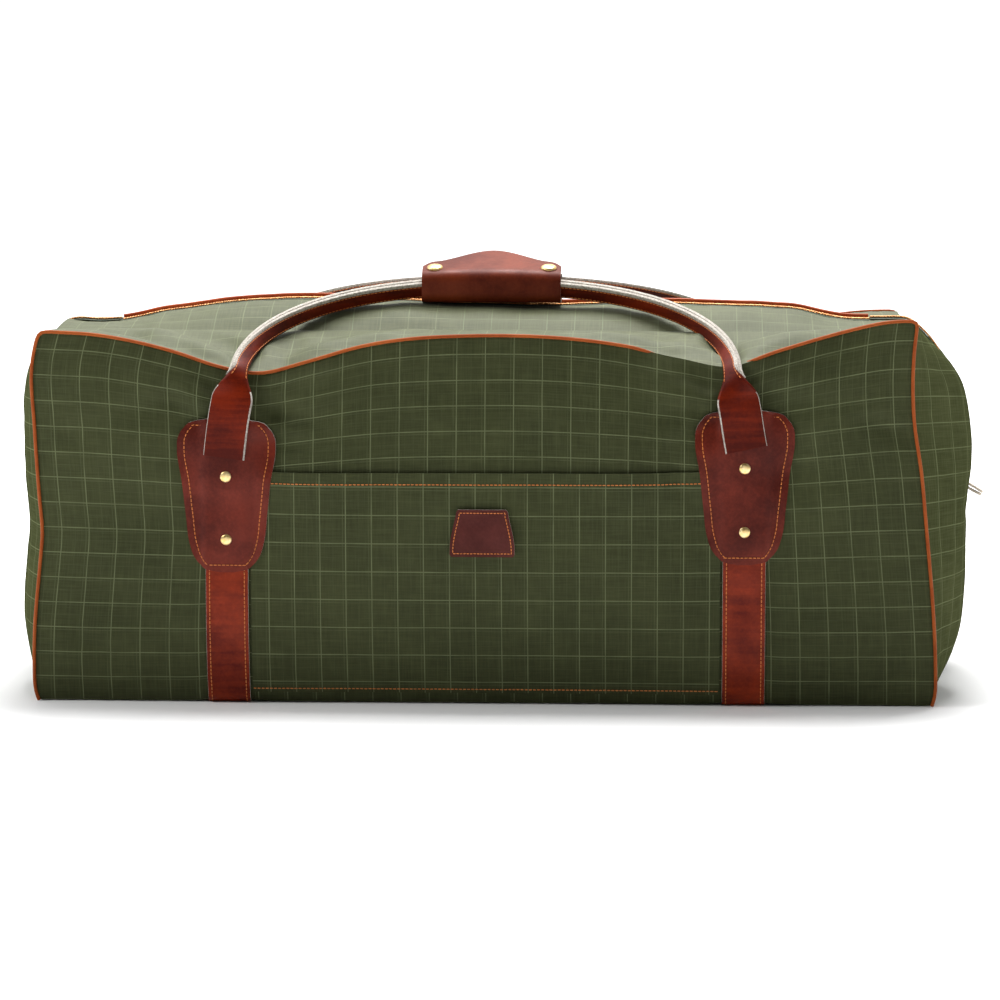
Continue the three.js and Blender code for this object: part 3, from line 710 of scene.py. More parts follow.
def drape(keys, start, cut, pins):
    """Lets the cloth settle. It is cut straight and a little full, so it folds where the handles pull it."""
    every_key = np.concatenate([g.ravel() for g in keys.values()])
    _, first, back = np.unique(every_key, return_index=True, return_inverse=True)

    def gather(grids):
        return np.concatenate([g.reshape(-1, g.shape[-1]) for g in grids.values()])[first]

    faces, count, numbers = [], 0, {}
    for side, grid in keys.items():
        numbers[side] = back[count : count + grid.size].reshape(grid.shape)
        faces += [tuple(numbers[side].ravel()[n] for n in f) for f in grid_faces(*grid.shape)]
        count += grid.size
    cloth = add_mesh("cloth", gather(start), faces, [])
    cloth.shape_key_add(name="start")
    shape = cloth.shape_key_add(name="cut")
    shape.data.foreach_set("co", (gather(cut) * SLACK).astype(np.float32).ravel())
    shape.value = 0.0
    group = cloth.vertex_groups.new(name="held")
    weight = gather({side: grid[..., None] for side, grid in pins.items()})[:, 0]
    group.add([int(n) for n in np.where(weight > 0.5)[0]], 1.0, "REPLACE")
    modifier = cloth.modifiers.new("cloth", "CLOTH")
    settings = modifier.settings
    for key, value in CLOTH.items():
        setattr(settings, key, value)
    settings.vertex_group_mass = "held"
    settings.rest_shape_key = shape
    settings.effector_weights.gravity = 0.15
    modifier.point_cache.frame_start = 1
    modifier.point_cache.frame_end = DRAPE_FRAMES
    scene = bpy.context.scene
    for step in range(1, DRAPE_FRAMES + 1):
        scene.frame_set(step)
    settled = cloth.evaluated_get(bpy.context.evaluated_depsgraph_get()).to_mesh()
    moved = np.empty(len(settled.vertices) * 3, np.float32)
    settled.vertices.foreach_get("co", moved)
    moved = moved.reshape(-1, 3).astype(float)
    scene.frame_set(1)
    bpy.data.objects.remove(cloth)
    return {side: moved[grid] for side, grid in numbers.items()}


def build_skin():
    """The six sides of the bag as grids of points, and their places on the flat cloth."""
    points, flat, cut, pins, keys = {}, {}, {}, {}, {}
    for side, ranges in SIDES.items():
        i, j, k = (np.squeeze(g) for g in lattice(*ranges))
        points[side] = place(i, j, k)
        cut[side] = place(i, j, k, cut=True)
        pins[side] = held(i, j, k, points[side])
        keys[side] = (i * 10000 + j * 100 + k).astype(int)
        x, y, z = (i - ALONG / 2) * CELL, (j - DEEP / 2) * CELL, k * SEAM_HEIGHT / UP
        u = {"left": y, "right": y}.get(side, x)
        v = {"top": y, "bottom": -y}.get(side, z)
        flat[side] = np.stack([u, v], axis=-1)
    points = drape(keys, points, cut, pins)
    return points, flat


skin, flat = build_skin()
FINE = 2
MIDDLE = np.array([0, 0, 0.14])
for side in skin:
    for axis in (0, 1):
        skin[side] = refine(skin[side], axis)
        flat[side] = refine(flat[side], axis)


def skin_tree():
    """The skin as one tree for casting rays at."""
    verts, faces, count = [], [], 0
    for grid in skin.values():
        verts.append(grid.reshape(-1, 3))
        faces += grid_faces(*grid.shape[:2], count)
        count += grid.shape[0] * grid.shape[1]
    return BVHTree.FromPolygons([Vector(v) for v in np.concatenate(verts)], faces)


def roughen(side, grid):
    """Unevenness of the cloth: gentle waves, and puckers beside the sewn seams."""
    rows, columns = grid.shape[:2]
    normal = unit(np.cross(np.gradient(grid, axis=0), np.gradient(grid, axis=1)))
    if np.mean(np.sum(normal * (grid - MIDDLE), axis=-1)) < 0:
        normal = -normal
    i, j = np.meshgrid(np.arange(rows), np.arange(columns), indexing="ij")
    edge = np.minimum(np.minimum(i, rows - 1 - i), np.minimum(j, columns - 1 - j)) * CELL / FINE
    calm = smoothstep(0, 30 * MM, edge)
    height = 1.6 * MM * wander(grid, 16, 1) + 0.7 * MM * wander(grid, 45, 2)
    if side == "top":
        level = np.abs(np.abs(grid[..., 1]) - FOLD_Y)
        calm = calm * smoothstep(0, 20 * MM, level)
    along = np.where(np.minimum(i, rows - 1 - i) < np.minimum(j, columns - 1 - j), j, i) * CELL / FINE
    wave = np.sin(along * 2 * math.pi / (13 * MM) + 3 * wander(grid, 12, 3))
    pucker = 0.5 * MM * wave * np.exp(-edge / (9 * MM)) * smoothstep(0, 5 * MM, edge)
    if side == "bottom":
        height = height * 0.3
        pucker = pucker * 0
    return grid + normal * (height * calm + pucker)[..., None]


for side in skin:
    skin[side] = roughen(side, skin[side])
TREE = skin_tree()


def touch(start, direction):
    """Where a ray meets the skin."""
    return np.array(TREE.ray_cast(Vector(start), Vector(direction))[0])


def on_front(x, z, lift, sign=-1):
    """A point lift in front of the front wall, or behind the back wall for sign 1."""
    return touch((x, sign * 0.4, z), (0, -sign, 0)) + np.array([0, sign * lift, 0])


def cloth_piece(name, grid, uv, material, outward):
    """A sheet over a grid of points, faced outward."""
    faces = grid_faces(*grid.shape[:2])
    corner = grid[0, 0]
    if np.dot(np.cross(grid[0, -1] - corner, grid[-1, 0] - corner), outward) < 0:
        faces = [tuple(reversed(f)) for f in faces]
    return add_mesh(name, grid.reshape(-1, 3), faces, [material], uvs=uv.reshape(-1, 2), solid=False)


def top_part(first, last, near, far):
    """Part of the top grid, by coarse lattice numbers."""
    rows = slice(first * FINE, last * FINE + 1)
    columns = slice(near * FINE, far * FINE + 1)
    return skin["top"][rows, columns].copy(), flat["top"][rows, columns]


def build_canvas():
    """The bag's walls, the top's still parts, and the mouth's two halves in three parts each."""
    fold = round((HALF_DEPTH - FOLD_Y) / CELL)
    corner = round((HALF_LENGTH - MOUTH_HALF) / CELL)
    bend = round((HALF_LENGTH - FLAP_BEND_TO) / CELL)
    middle = DEEP // 2
    between = (fold, DEEP - fold)
    up = (0, 0, 1)

    def wall(side):
        return skin[side], flat[side]

    for name, node, sheet, material, outward in (
        ("front", "front_panel", wall("front"), CANVAS, (0, -1, 0)),
        ("back", "back_panel", wall("back"), CANVAS, (0, 1, 0)),
        ("bottom", "bottom_panel", wall("bottom"), CANVAS, (0, 0, -1)),
        # The ends take their lighter copy of the canvas: painted light.
        ("left", "end_panel_left", wall("left"), CANVAS_END_PAINTED_LIGHT, (-1, 0, 0)),
        ("right", "end_panel_right", wall("right"), CANVAS_END_PAINTED_LIGHT, (1, 0, 0)),
        # The top's pieces take the lighter copy of the canvas: painted light.
        ("top_front", "top_panel_front", top_part(0, ALONG, 0, fold), CANVAS_TOP_PAINTED_LIGHT, up),
        ("top_rear", "top_panel_rear", top_part(0, ALONG, DEEP - fold, DEEP), CANVAS_TOP_PAINTED_LIGHT, up),
        ("corner_left", "top_corner_left", top_part(0, corner, *between), CANVAS_TOP_PAINTED_LIGHT, up),
        ("corner_right", "top_corner_right", top_part(ALONG - corner, ALONG, *between), CANVAS_TOP_PAINTED_LIGHT, up),
    ):
        finish_piece(cloth_piece("canvas_" + name, *sheet, material, outward), "bag", "canvas", node)
    halves = (("front", fold, middle, -4.5 * MM), ("rear", middle, DEEP - fold, 3.5 * MM))
    for half, near, far, edge in halves:
        body, node = "mouth_" + half, "mouth_flap_" + half
        for part, first, last in (
            ("left", corner, bend),
            ("middle", bend, ALONG - bend),
            ("right", ALONG - bend, ALONG - corner),
        ):
            grid, uv = top_part(first, last, near, far)
            fold_line = np.sign(edge) * FOLD_Y
            grid[..., 1] = fold_line + (grid[..., 1] - fold_line) * (1 - abs(edge) / FOLD_Y)
            piece = cloth_piece(f"canvas_flap_{half}_{part}", grid, uv, CANVAS_TOP_PAINTED_LIGHT, up)
            finish_piece(piece, flap_body(body, part), "canvas", node)


def flap_body(body, part):
    """The middle of the mouth rides its body; its ends get the bag, that body and two places along the bag.
    """
    if part == "middle":
        return body
    sign = -1 if part == "left" else 1
    return ("bag", body, (sign * FLAP_BEND_FROM, 0, 0.29), (sign * FLAP_BEND_TO, 0, 0.29))


build_canvas()


# ---------------------------------------------------------------- piping
def edge_line(sign):
    """Bottom corner, up one end, along the top seam, and down the other end."""
    wall = skin["front" if sign < 0 else "back"]
    line = np.concatenate([wall[0, :], wall[1:-1, -1], wall[-1, ::-1]])
    line = ease(resample(line, 4 * MM), 2)
    out = unit(line - MIDDLE) * np.array([1, 0, 1])
    out = unit(out + np.array([0, sign * 0.9, 0]))
    hidden = np.zeros(len(line))
    if sign < 0:
        under = smoothstep(112 * MM, 145 * MM, line[:, 0]) * smoothstep(212 * MM, 200 * MM, line[:, 0])
        hidden = under * (line[:, 2] > 240 * MM)
    return line + out * (1.0 * MM - 5.5 * MM * hidden)[:, None]


def build_piping():
    """A leather cord along each face's top seam and upright edges."""
    for sign, node in ((-1, "piping_front"), (1, "piping_back")):
        line = edge_line(sign)
        ahead = tangents(line)
        across = unit(np.cross(ahead, np.array([0, 1.0, 0])))
        outward = np.cross(across, ahead)
        piece = sweep(node + "_cord", line, across, outward, round_section(PIPING_RADIUS, 10), [PIPING])
        finish_piece(piece, "bag", "piping", node)


build_piping()


# ---------------------------------------------------------------- straps, patches, rivets
chape_half = smooth_curve(
    (
        (104.6, 5), (106, 13), (110, 20), (116, 25), (126, 28.6), (148, 31.6),
        (175, 34.6), (200, 38.2), (209, 37.4), (216, 33), (221, 25.5), (223.6, 12),
    )
)


def strap_line(x, lift):
    """Down the front from under the patch, round below the bag and up the back."""
    heights = np.linspace(140 * MM, 9 * MM, 34)
    front = [on_front(x, z, lift) for z in heights]
    back = [on_front(x, z, lift, 1) for z in heights[::-1]]
    low = STRAP_THICK / 2
    near, far = front[-1][1], back[0][1]
    turn = []
    for s in np.linspace(0, 1, 8)[1:-1]:
        angle = s * math.pi / 2
        rise = low + (9 * MM - low) * (1 - math.sin(angle))
        turn.append((x, near + 9 * MM * (1 - math.cos(angle)), rise))
    under = [(x, y, low) for y in np.linspace(near + 12 * MM, far - 12 * MM, 14)]
    turn_back = [(x, far + (near - y), z) for _, y, z in turn[::-1]]
    return np.array(front + turn + under + turn_back + back)


def strip_section(half_wide, half_thick):
    """A flat strap's section, and a painter that gives its two cut edges the second material."""
    section = rounded(half_wide, half_thick, 0.6 * MM, 2)
    wide = np.abs(section[:, 0] + np.roll(section[:, 0], -1))
    raw = wide > 2 * half_wide - 0.5 * MM
    return section, lambda ring, column: int(raw[column])


def build_straps():
    """The two straps that run round the bag, with a row of stitches along each edge."""
    for sign, node in ((-1, "under_strap_left"), (1, "under_strap_right")):
        x = sign * STRAP_X
        line = strap_line(x, 0.9 * MM + STRAP_THICK / 2)
        ahead = tangents(line)
        across = np.array([1.0, 0, 0])
        outward = np.cross(ahead, across)
        section, paint = strip_section(STRAP_HALF, STRAP_THICK / 2)
        materials = [STRAP_LEATHER, RAW_EDGE]
        piece = sweep("strap_" + node[12:], line, across, outward, section, materials, paint)
        finish_piece(piece, "bag", "strap_leather", node)
        face = outward * STRAP_THICK / 2 * outside_of(line, outward)
        rows = [(line + across * side * (STRAP_HALF - 3 * MM) + face, outward) for side in (-1, 1)]
        stitches("strap_stitches_" + node[12:], rows, "bag", "strap_leather")


def outside_of(line, outward):
    """1 where outward points away from the bag's middle, else -1, as a column."""
    away = line - np.array([0, 0, 0.12])
    return np.sign(np.sum(outward[:, 1:] * away[:, 1:], axis=1))[:, None]


def chape_point(x0, s, z, sign, lift):
    """A point on a patch, which rises over the strap under it: s is -1 to 1 across, z its height."""
    across = s * chape_half(z)
    z = z + RIGHT_PATCH_RISE * (x0 > 0 and sign < 0)
    under = smoothstep(STRAP_HALF + 5 * MM, STRAP_HALF - 1 * MM, abs(across))
    rise = (STRAP_THICK + 0.6 * MM) * under + 0.4 * MM
    return on_front(x0 + across, z, rise + lift, sign)


def build_chapes():
    """The four handle patches, each with its stitches and two rivets."""
    heights = CHAPE_LOW + (CHAPE_HIGH - CHAPE_LOW) * (1 - np.cos(np.linspace(0, math.pi, 44))) / 2
    spans = np.sin(np.linspace(-math.pi / 2, math.pi / 2, 29))
    for face, sign in (("front", -1), ("back", 1)):
        for end, side in (("left", -1), ("right", 1)):
            x0 = side * STRAP_X
            inner = np.array([[chape_point(x0, s, z, sign, 0) for s in spans] for z in heights])
            outer = inner + np.array([0, sign * CHAPE_THICK, 0])
            piece = slab(f"patch_{face}_{end}", outer, inner, [PATCH_LEATHER, RAW_EDGE])
            finish_piece(piece, "bag", "patch_leather", f"chape_{face}_{end}")
            levels = np.linspace(CHAPE_LOW + CHAPE_INSET, CHAPE_HIGH - CHAPE_INSET, 60)
            edge = [(max(chape_half(z) - CHAPE_INSET, 2 * MM), z) for z in levels]
            loop = [(-w, z) for w, z in edge] + [(w, z) for w, z in edge[::-1]]
            loop.append(loop[0])
            points = [chape_point(x0, w / chape_half(z), z, sign, CHAPE_THICK) for w, z in loop]
            stitches(f"patch_stitches_{face}_{end}", [(points, (0, sign, 0))], "bag", "patch_leather")
            bases = [chape_point(x0, 0, z, sign, CHAPE_THICK) for z in RIVET_HEIGHTS]
            parts = [lathe(RIVET_PROFILE, base, (0, sign, 0)) for base in bases]
            rivets = add_mesh(f"rivets_{face}_{end}", *joined(parts), [BRASS])
            nodes = [f"rivet_{face}_{end}_{level}" for level in ("lower", "upper")]
            finish_piece(rivets, "bag", "brass", *nodes)


build_straps()
build_chapes()


# ---------------------------------------------------------------- pocket and label
def pocket_place(x, r):
    """A height on the pocket, 0 to 1 from its foot to its rim, and how far it stands off the wall there."""
    share = x / POCKET_HALF
    top = POCKET_TOP + 1.5 * MM * math.cos(share * 2.6) - 2.5 * MM * (1 - share**2)
    top += 2 * MM * (share > 0) * share**2
    return POCKET_BOTTOM + r * (top - POCKET_BOTTOM), (1.6 + 2.6 * (1 - share**6) * r**2) * MM


def build_pocket():
    """The pocket's cloth, sewn along its rim and foot."""
    outer, uv = [], []
    for r in np.linspace(0, 1, 60):
        places = [(x, *pocket_place(x, r)) for x in np.linspace(-POCKET_HALF, POCKET_HALF, 122)]
        outer.append([on_front(x, z, lift) for x, z, lift in places])
        uv.append([(x, z) for x, z, _ in places])
    outer, uv = np.array(outer), np.array(uv)
    inner = outer + np.array([0, 1.2 * MM, 0])
    piece = slab("pocket", outer, inner, [CANVAS_POCKET, CANVAS_POCKET], uv)
    finish_piece(piece, "bag", "canvas", "pocket_panel")
    rows = [outer[row] + np.array([0, -0.2 * MM, 0]) for row in (-4, 1)]
    stitches("pocket_stitches", [(row, (0, -1, 0)) for row in rows], "bag", "canvas")


def build_label():
    """A plain sewn leather label: the photo's mark is left out."""
    heights = np.linspace(LABEL_LOW, LABEL_HIGH, 20)
    spans = np.linspace(-1, 1, 25)
    half = smooth_curve(((119, 23.6), (120.5, 24.9), (123, 25), (151, 20.2), (154, 19.6), (155.5, 18.4)))
    inner = np.array([[on_front(LABEL_X + s * half(z), z, 6.2 * MM) for s in spans] for z in heights])
    outer = inner + np.array([0, -1.8 * MM, 0])
    piece = slab("label", outer, inner, [LABEL_LEATHER, RAW_EDGE])
    finish_piece(piece, "bag", "patch_leather", "label_patch")
    inset = 2.6 * MM
    low, high = LABEL_LOW + inset, LABEL_HIGH - inset
    corners = [(-1, low), (1, low), (1, high), (-1, high), (-1, low)]
    line = []
    for (s0, z0), (s1, z1) in zip(corners, corners[1:]):
        for t in np.linspace(0, 1, 12):
            z = z0 + (z1 - z0) * t
            line.append(on_front(LABEL_X + (s0 + (s1 - s0) * t) * (half(z) - inset), z, 8.0 * MM))
    stitches("label_stitches", [(line, (0, -1, 0))], "bag", "patch_leather", 2.6 * MM, 2.0 * MM)


build_pocket()
build_label()


# ---------------------------------------------------------------- carry handles
def handle_line(sign):
    """The strap's centre line, from the left slot over the arch to the right slot."""
    leg = ((200.5, 0, 194), (198.5, 0.4, 212), (195.5, 0.9, 232), (191.5, 3, 250))
    leg = [(-x * MM, -(LEG_DEPTH - back * MM), z * MM) for x, back, z in leg]
    arch = []
    for s in np.linspace(0, math.pi, 61):
        side = -math.cos(s)
        rise = (1 - abs(side) ** ARCH_POWER) ** (1 / ARCH_POWER) if abs(side) < 1 else 0.0
        back = 1 - (1 - rise) ** 1.1
        x = ARCH_BASE[0] * side
        y = ARCH_BASE[1] + (ARCH_TOP[1] - ARCH_BASE[1]) * back
        z = ARCH_BASE[2] + (ARCH_TOP[2] - ARCH_BASE[2]) * rise
        arch.append((x, y, z))
    slot_rise = RIGHT_PATCH_RISE if sign < 0 else 0
    right_leg = [(-x, y, max(z, leg[0][2] + slot_rise)) for x, y, z in leg[::-1]]
    line = np.array(leg + arch + right_leg)
    return ease(resample(line, 3 * MM), 6) * np.array([1, -sign, 1])


def handle_axes(line, sign):
    """For each point: the fold's open direction, the direction across it, and how far the strap is folded."""
    ahead = tangents(line)
    face = np.array([0, sign, 0.0]) - ahead * ahead[:, 1:2] * sign
    face = unit(face)
    out = unit(np.cross(face, ahead)) * -sign
    folded = smoothstep(238 * MM, 262 * MM, line[:, 2])
    turn = math.radians(24) * folded - math.radians(12) * (1 - folded)
    opening = unit(out * np.cos(turn)[:, None] + face * np.sin(turn)[:, None])
    side = unit(np.cross(opening, ahead))
    side = side * np.where(np.sum(side * face, axis=1) < 0, -1, 1)[:, None]
    return opening, side, folded


def build_handle(which, sign):
    """A strap, flat at its slots and folded over the arch, with its two cut edges and its stitches."""
    line = handle_line(sign)
    opening, side, folded = handle_axes(line, sign)
    half_wide = STRAP_HALF + (6.4 * MM - STRAP_HALF) * folded
    half_thick = 1.7 * MM + 2.6 * MM * folded
    sections = [rounded(w, t, min(t * 0.75, w * 0.5), 4) for w, t in zip(half_wide, half_thick)]

    def paint(ring, column):
        wide = sections[ring][:, 0]
        edge = abs(wide[column] + wide[(column + 1) % len(wide)]) / 2 > half_wide[ring] - 0.75 * MM
        return int(edge and folded[ring] < 0.25)

    body = "carry_handle_" + which
    # The rear handle takes the darker copy of the handle leather: painted shade.
    materials = [HANDLE_FACE if which == "front" else HANDLE_PAINTED_SHADE, RAW_EDGE]
    piece = sweep("handle_strap_" + which, line, opening, side, sections, materials, paint)
    finish_piece(piece, body, "strap_leather", "handle_" + which)
    inside = np.where(folded > 0.72)[0]
    first, last = inside[0], inside[-1]
    run = slice(first, last + 1)
    ends = [np.linalg.norm(line[run] - line[end], axis=1) for end in (first, last)]
    shrink = np.sqrt(np.clip(np.minimum(*ends) / (7 * MM), 0.03, 1))
    for ply, way in (("near", 1), ("far", -1)):
        centre = line[run] + opening[run] * (half_wide[run] - 0.6 * MM)[:, None]
        centre = centre + side[run] * (way * 2.25 * MM * shrink)[:, None]
        plies = np.array([rounded(1.5 * MM, 1.8 * MM * s, 0.7 * MM * s, 3) for s in shrink])
        edge = sweep(f"handle_edge_{which}_{ply}", centre, opening[run], side[run], plies, [RAW_EDGE])
        finish_piece(edge, body, "strap_leather")
    rows = []
    for way in (1, -1):
        surface = line[run] + side[run] * way * half_thick[run][:, None]
        rows.append((surface + opening[run] * (half_wide[run] - 2.4 * MM)[:, None], side[run] * way))
        rows.append((surface - opening[run] * (half_wide[run] - 2.2 * MM)[:, None], side[run] * way))
    stitches("handle_stitches_" + which, rows, body, "strap_leather", radius=0.36 * MM)


build_handle("front", -1)
build_handle("rear", 1)


# ---------------------------------------------------------------- grip
def thick_line(line, thickness):
    """Outer and inner edges of a bent sheet seen end on: line is the outer face as (y, z)."""
    line = np.array(line, float)
    ahead = unit(np.gradient(line, axis=0))
    inward = np.stack([ahead[:, 1], -ahead[:, 0]], axis=1)
    return line, line + inward * thickness


def rounded_path(corners, radius, steps=6):
    """A polyline with each inner corner rounded."""
    points = [np.array(corners[0], float)]
    for before, here, after in zip(corners, corners[1:], corners[2:]):
        before, here, after = (np.array(p, float) for p in (before, here, after))
        start = here + unit(before - here) * min(radius, np.linalg.norm(before - here) / 2)
        stop = here + unit(after - here) * min(radius, np.linalg.norm(after - here) / 2)
        for t in np.linspace(0, 1, steps):
            points.append((1 - t) ** 2 * start + 2 * t * (1 - t) * here + t * t * stop)
    points.append(np.array(corners[-1], float))
    return np.array(points)


def build_grip():
    """The grip's front half with the flap that its top bends into, the snap caps, and its rear half."""
    reach = smooth_curve(((-55.5, 19), (-52, 25), (-40, 31), (0, 54), (40, 31), (52, 25), (55.5, 19)))
    spans = np.linspace(-GRIP_HALF, GRIP_HALF, 75)
    outer, inner = [], []
    for x in spans:
        round_end = 1 - (abs(x) / GRIP_HALF) ** 12
        lift = 1.5 * MM * (1 - (x / GRIP_HALF) ** 2)
        crest = FLAP_HEIGHT + lift
        deep = float(reach(x))
        face = -GRIP_FRONT + 1 * MM * (1 - round_end)
        tip = (-GRIP_FRONT + deep * math.cos(FLAP_SLOPE), crest + deep * math.sin(FLAP_SLOPE))
        corners = [(-1.5 * MM, GRIP_FLOOR), (face, GRIP_FLOOR), (face, crest), tip]
        path = rounded_path(corners, 8 * MM)
        path = resample(np.column_stack([path, np.zeros(len(path))]), 1.6 * MM)
        path = at_length(path[:, :2], np.linspace(0, 1, len(path)), np.linspace(0, 1, 56))
        out, into = thick_line(path, GRIP_THICK)
        outer.append([(GRIP_X + x, y, z) for y, z in out])
        inner.append([(GRIP_X + x, y, z) for y, z in into])
    piece = slab("grip_leather", np.array(outer), np.array(inner), [GRIP_LEATHER, RAW_EDGE])
    bend = ("carry_handle_front", "snap_flap", (GRIP_X, 0, 0.320), (GRIP_X, 0, 0.329))
    finish_piece(piece, bend, "grip_leather", "grip_front", "grip_flap")
    lean = np.array([0, math.cos(FLAP_SLOPE), math.sin(FLAP_SLOPE)])
    start = np.array([GRIP_X, -GRIP_FRONT, FLAP_HEIGHT + 0.6 * MM])
    bases = [start + lean * SNAP_BACK + np.array([sign * SNAP_X, 0, 0]) for sign in (-1, 1)]
    caps = [lathe(SNAP_PROFILE, base, (0, -lean[2], lean[1])) for base in bases]
    snaps = add_mesh("snap_caps", *joined(caps), [BRASS])
    finish_piece(snaps, "snap_flap", "brass", "snap_cap_left", "snap_cap_right")
    outer, inner = [], []
    face = GRIP_FRONT - 1 * MM
    corners = [(1.5 * MM, GRIP_FLOOR), (face, GRIP_FLOOR), (face, 323 * MM), (6 * MM, 324 * MM)]
    out, into = thick_line(rounded_path(corners, 7 * MM)[::-1], 2.4 * MM)
    for x in np.linspace(-GRIP_HALF, GRIP_HALF, 41):
        outer.append([(GRIP_X + x, y, z) for y, z in out])
        inner.append([(GRIP_X + x, y, z) for y, z in into])
    rear = slab("grip_leather_rear", np.array(outer), np.array(inner), [GRIP_LEATHER, RAW_EDGE])
    finish_piece(rear, "carry_handle_rear", "grip_leather", "grip_rear")


build_grip()


# ---------------------------------------------------------------- zip
def on_top(x, lift):
    """A point lift above the top's middle line."""
    return touch((x, 0, 0.5), (0, 0, -1)) + np.array([0, 0, lift])


def strip(name, line, half_wide, half_thick, material):
    """A flat strip along a line that runs in the bag's middle plane, with its axes across and outward."""
    across = np.array([0, 1.0, 0])
    outward = np.cross(tangents(line), across)
    section = rounded(half_wide, half_thick, min(half_wide, half_thick) * 0.5, 2)
    return sweep(name, line, across, outward, section, [material])


def tooth(centre, along, across, out):
    """One zip tooth: a small block with its nose past the middle."""
    verts = []
    for a in (-0.42, 0.42):
        for c, o in ((-1.9, -0.55), (1.2, -0.55), (1.6, 0.0), (1.2, 0.75), (-1.9, 0.55)):
            corner = centre + along * a * TEETH_PITCH + across * c * MM
            verts.append(corner + out * o * 1.25 * MM)
    faces = [(0, 1, 2, 3, 4), (9, 8, 7, 6, 5)]
    faces += [(k, k + 5, (k + 1) % 5 + 5, (k + 1) % 5) for k in range(5)]
    return verts, faces


def end_zip_line(sign, lift):
    """The zip's run over the top corner and down the end, on the skin."""
    line = [on_top(sign * x * MM, lift) for x in np.linspace(MOUTH_HALF / MM + 1, 338, 8)]
    for z in np.linspace(282, ZIP_STOP_Z / MM, 30):
        line.append(touch((sign * 0.6, 0, z * MM), (-sign, 0, 0)) + np.array([sign * lift, 0, 0]))
    return ease(resample(line, 2 * MM), 8)


def teeth_along(line, sign):
    """One side's teeth along a line. Their noses point toward sign times y."""
    parts = []
    side = np.array([0, 1, 0])
    gone = lengths(line)
    for at in np.arange(TEETH_PITCH / 2, gone[-1], TEETH_PITCH):
        along = unit(at_length(line, gone, at + MM) - at_length(line, gone, at - MM))
        parts.append(tooth(at_length(line, gone, at), along, side * sign, unit(np.cross(along, side))))
    return parts


def zip_line(xs, y, lift):
    """The zip's line along the top, at a distance y to one side and lift above the cloth."""
    return np.array([on_top(x, lift) for x in xs]) + np.array([0, y, 0])


def build_top_zip(half, sign):
    """One side of the zip along the mouth: its tape and teeth, and the rear side's leather facing."""
    spans = {
        "left": (-MOUTH_HALF, -FLAP_BEND_TO),
        "middle": (-FLAP_BEND_TO, FLAP_BEND_TO),
        "right": (FLAP_BEND_TO, MOUTH_HALF),
    }
    for part, (start, stop) in spans.items():
        xs = np.linspace(start, stop, round((stop - start) / (4 * MM)))
        rides = flap_body("mouth_" + half, part)
        line = zip_line(xs, sign * 5.2 * MM, -0.2 * MM)
        tape = strip(f"tape_{half}_{part}", line, 3.6 * MM, 0.4 * MM, ZIP_TAPE)
        finish_piece(tape, rides, "zip_tape", "zip_tape_" + half)
        middle = zip_line(xs, sign * 0.4 * MM, 0.7 * MM)
        parts = teeth_along(middle + np.array([(sign > 0) * TEETH_PITCH / 2, 0, 0]), -sign)
        teeth = add_mesh(f"teeth_{half}_{part}", *joined(parts), [COPPER])
        finish_piece(teeth, rides, "zip_metal", "zip_teeth_" + half)
        if sign > 0:
            line = zip_line(xs, 6.2 * MM, 2.6 * MM)
            facing = strip(f"facing_{part}", line, 2.6 * MM, 1.5 * MM, FACING_LEATHER)
            finish_piece(facing, rides, "strap_leather", "zip_facing")


def build_end_zip(end, sign):
    """The zip's run down one end, with the teeth of both sides."""
    line = end_zip_line(sign, 0.9 * MM)
    tape = strip("tape_end_" + end, line, 8 * MM, 0.4 * MM, ZIP_TAPE)
    finish_piece(tape, "bag", "zip_tape", "zip_end_tape_" + end)
    ahead = tangents(line)
    outward = np.cross(ahead, [0, 1.0, 0])
    away = np.sign(np.sum(outward * (line - MIDDLE), axis=1))[:, None]
    raised = line + outward * away * 1.3 * MM
    parts = teeth_along(raised, -1) + teeth_along(raised + ahead * TEETH_PITCH / 2, 1)
    teeth = add_mesh("teeth_end_" + end, *joined(parts), [COPPER])
    finish_piece(teeth, "bag", "zip_metal", "zip_end_teeth_" + end)


def build_pull():
    """The pull's two leather layers, rounded at the end, which hang out from the slider's link."""
    out = np.array([math.cos(PULL_HANG), 0, -math.sin(PULL_HANG)])
    face = np.array([math.sin(PULL_HANG), 0, math.cos(PULL_HANG)])
    stations = np.linspace(0, 1, 14)[:, None]
    wide = PULL_HALF * np.sqrt(np.clip(1 - ((stations - 0.8) / 0.2).clip(0, 1) ** 2, 0.06, 1))
    sections = [rounded(float(w), 0.95 * MM, 0.5 * MM, 2) for w in wide[:, 0]]
    for layer, way, nodes in (("upper", 1, ["zip_pull_tab"]), ("lower", -1, [])):
        line = np.array(PULL_HINGE) + out * (2.5 * MM + stations * PULL_LENGTH)
        line = line + face * way * (1.05 + 0.5 * np.sin(stations * 3)) * MM
        tab = sweep("pull_tab_" + layer, line, (0, 1, 0), face, sections, [PULL_LEATHER])
        finish_piece(tab, "pull", "pull_leather", *nodes)


def show_slider():
    """The CAD's own slider and link stay in view, in the zip's metal."""
    for name in ("zip_slider", "zip_pull_link"):
        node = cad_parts[name]
        node.data.materials.clear()
        node.data.materials.append(COPPER)


for half, sign in (("front", -1), ("rear", 1)):
    build_top_zip(half, sign)
for end, sign in (("left", -1), ("right", 1)):
    build_end_zip(end, sign)
build_pull()
show_slider()


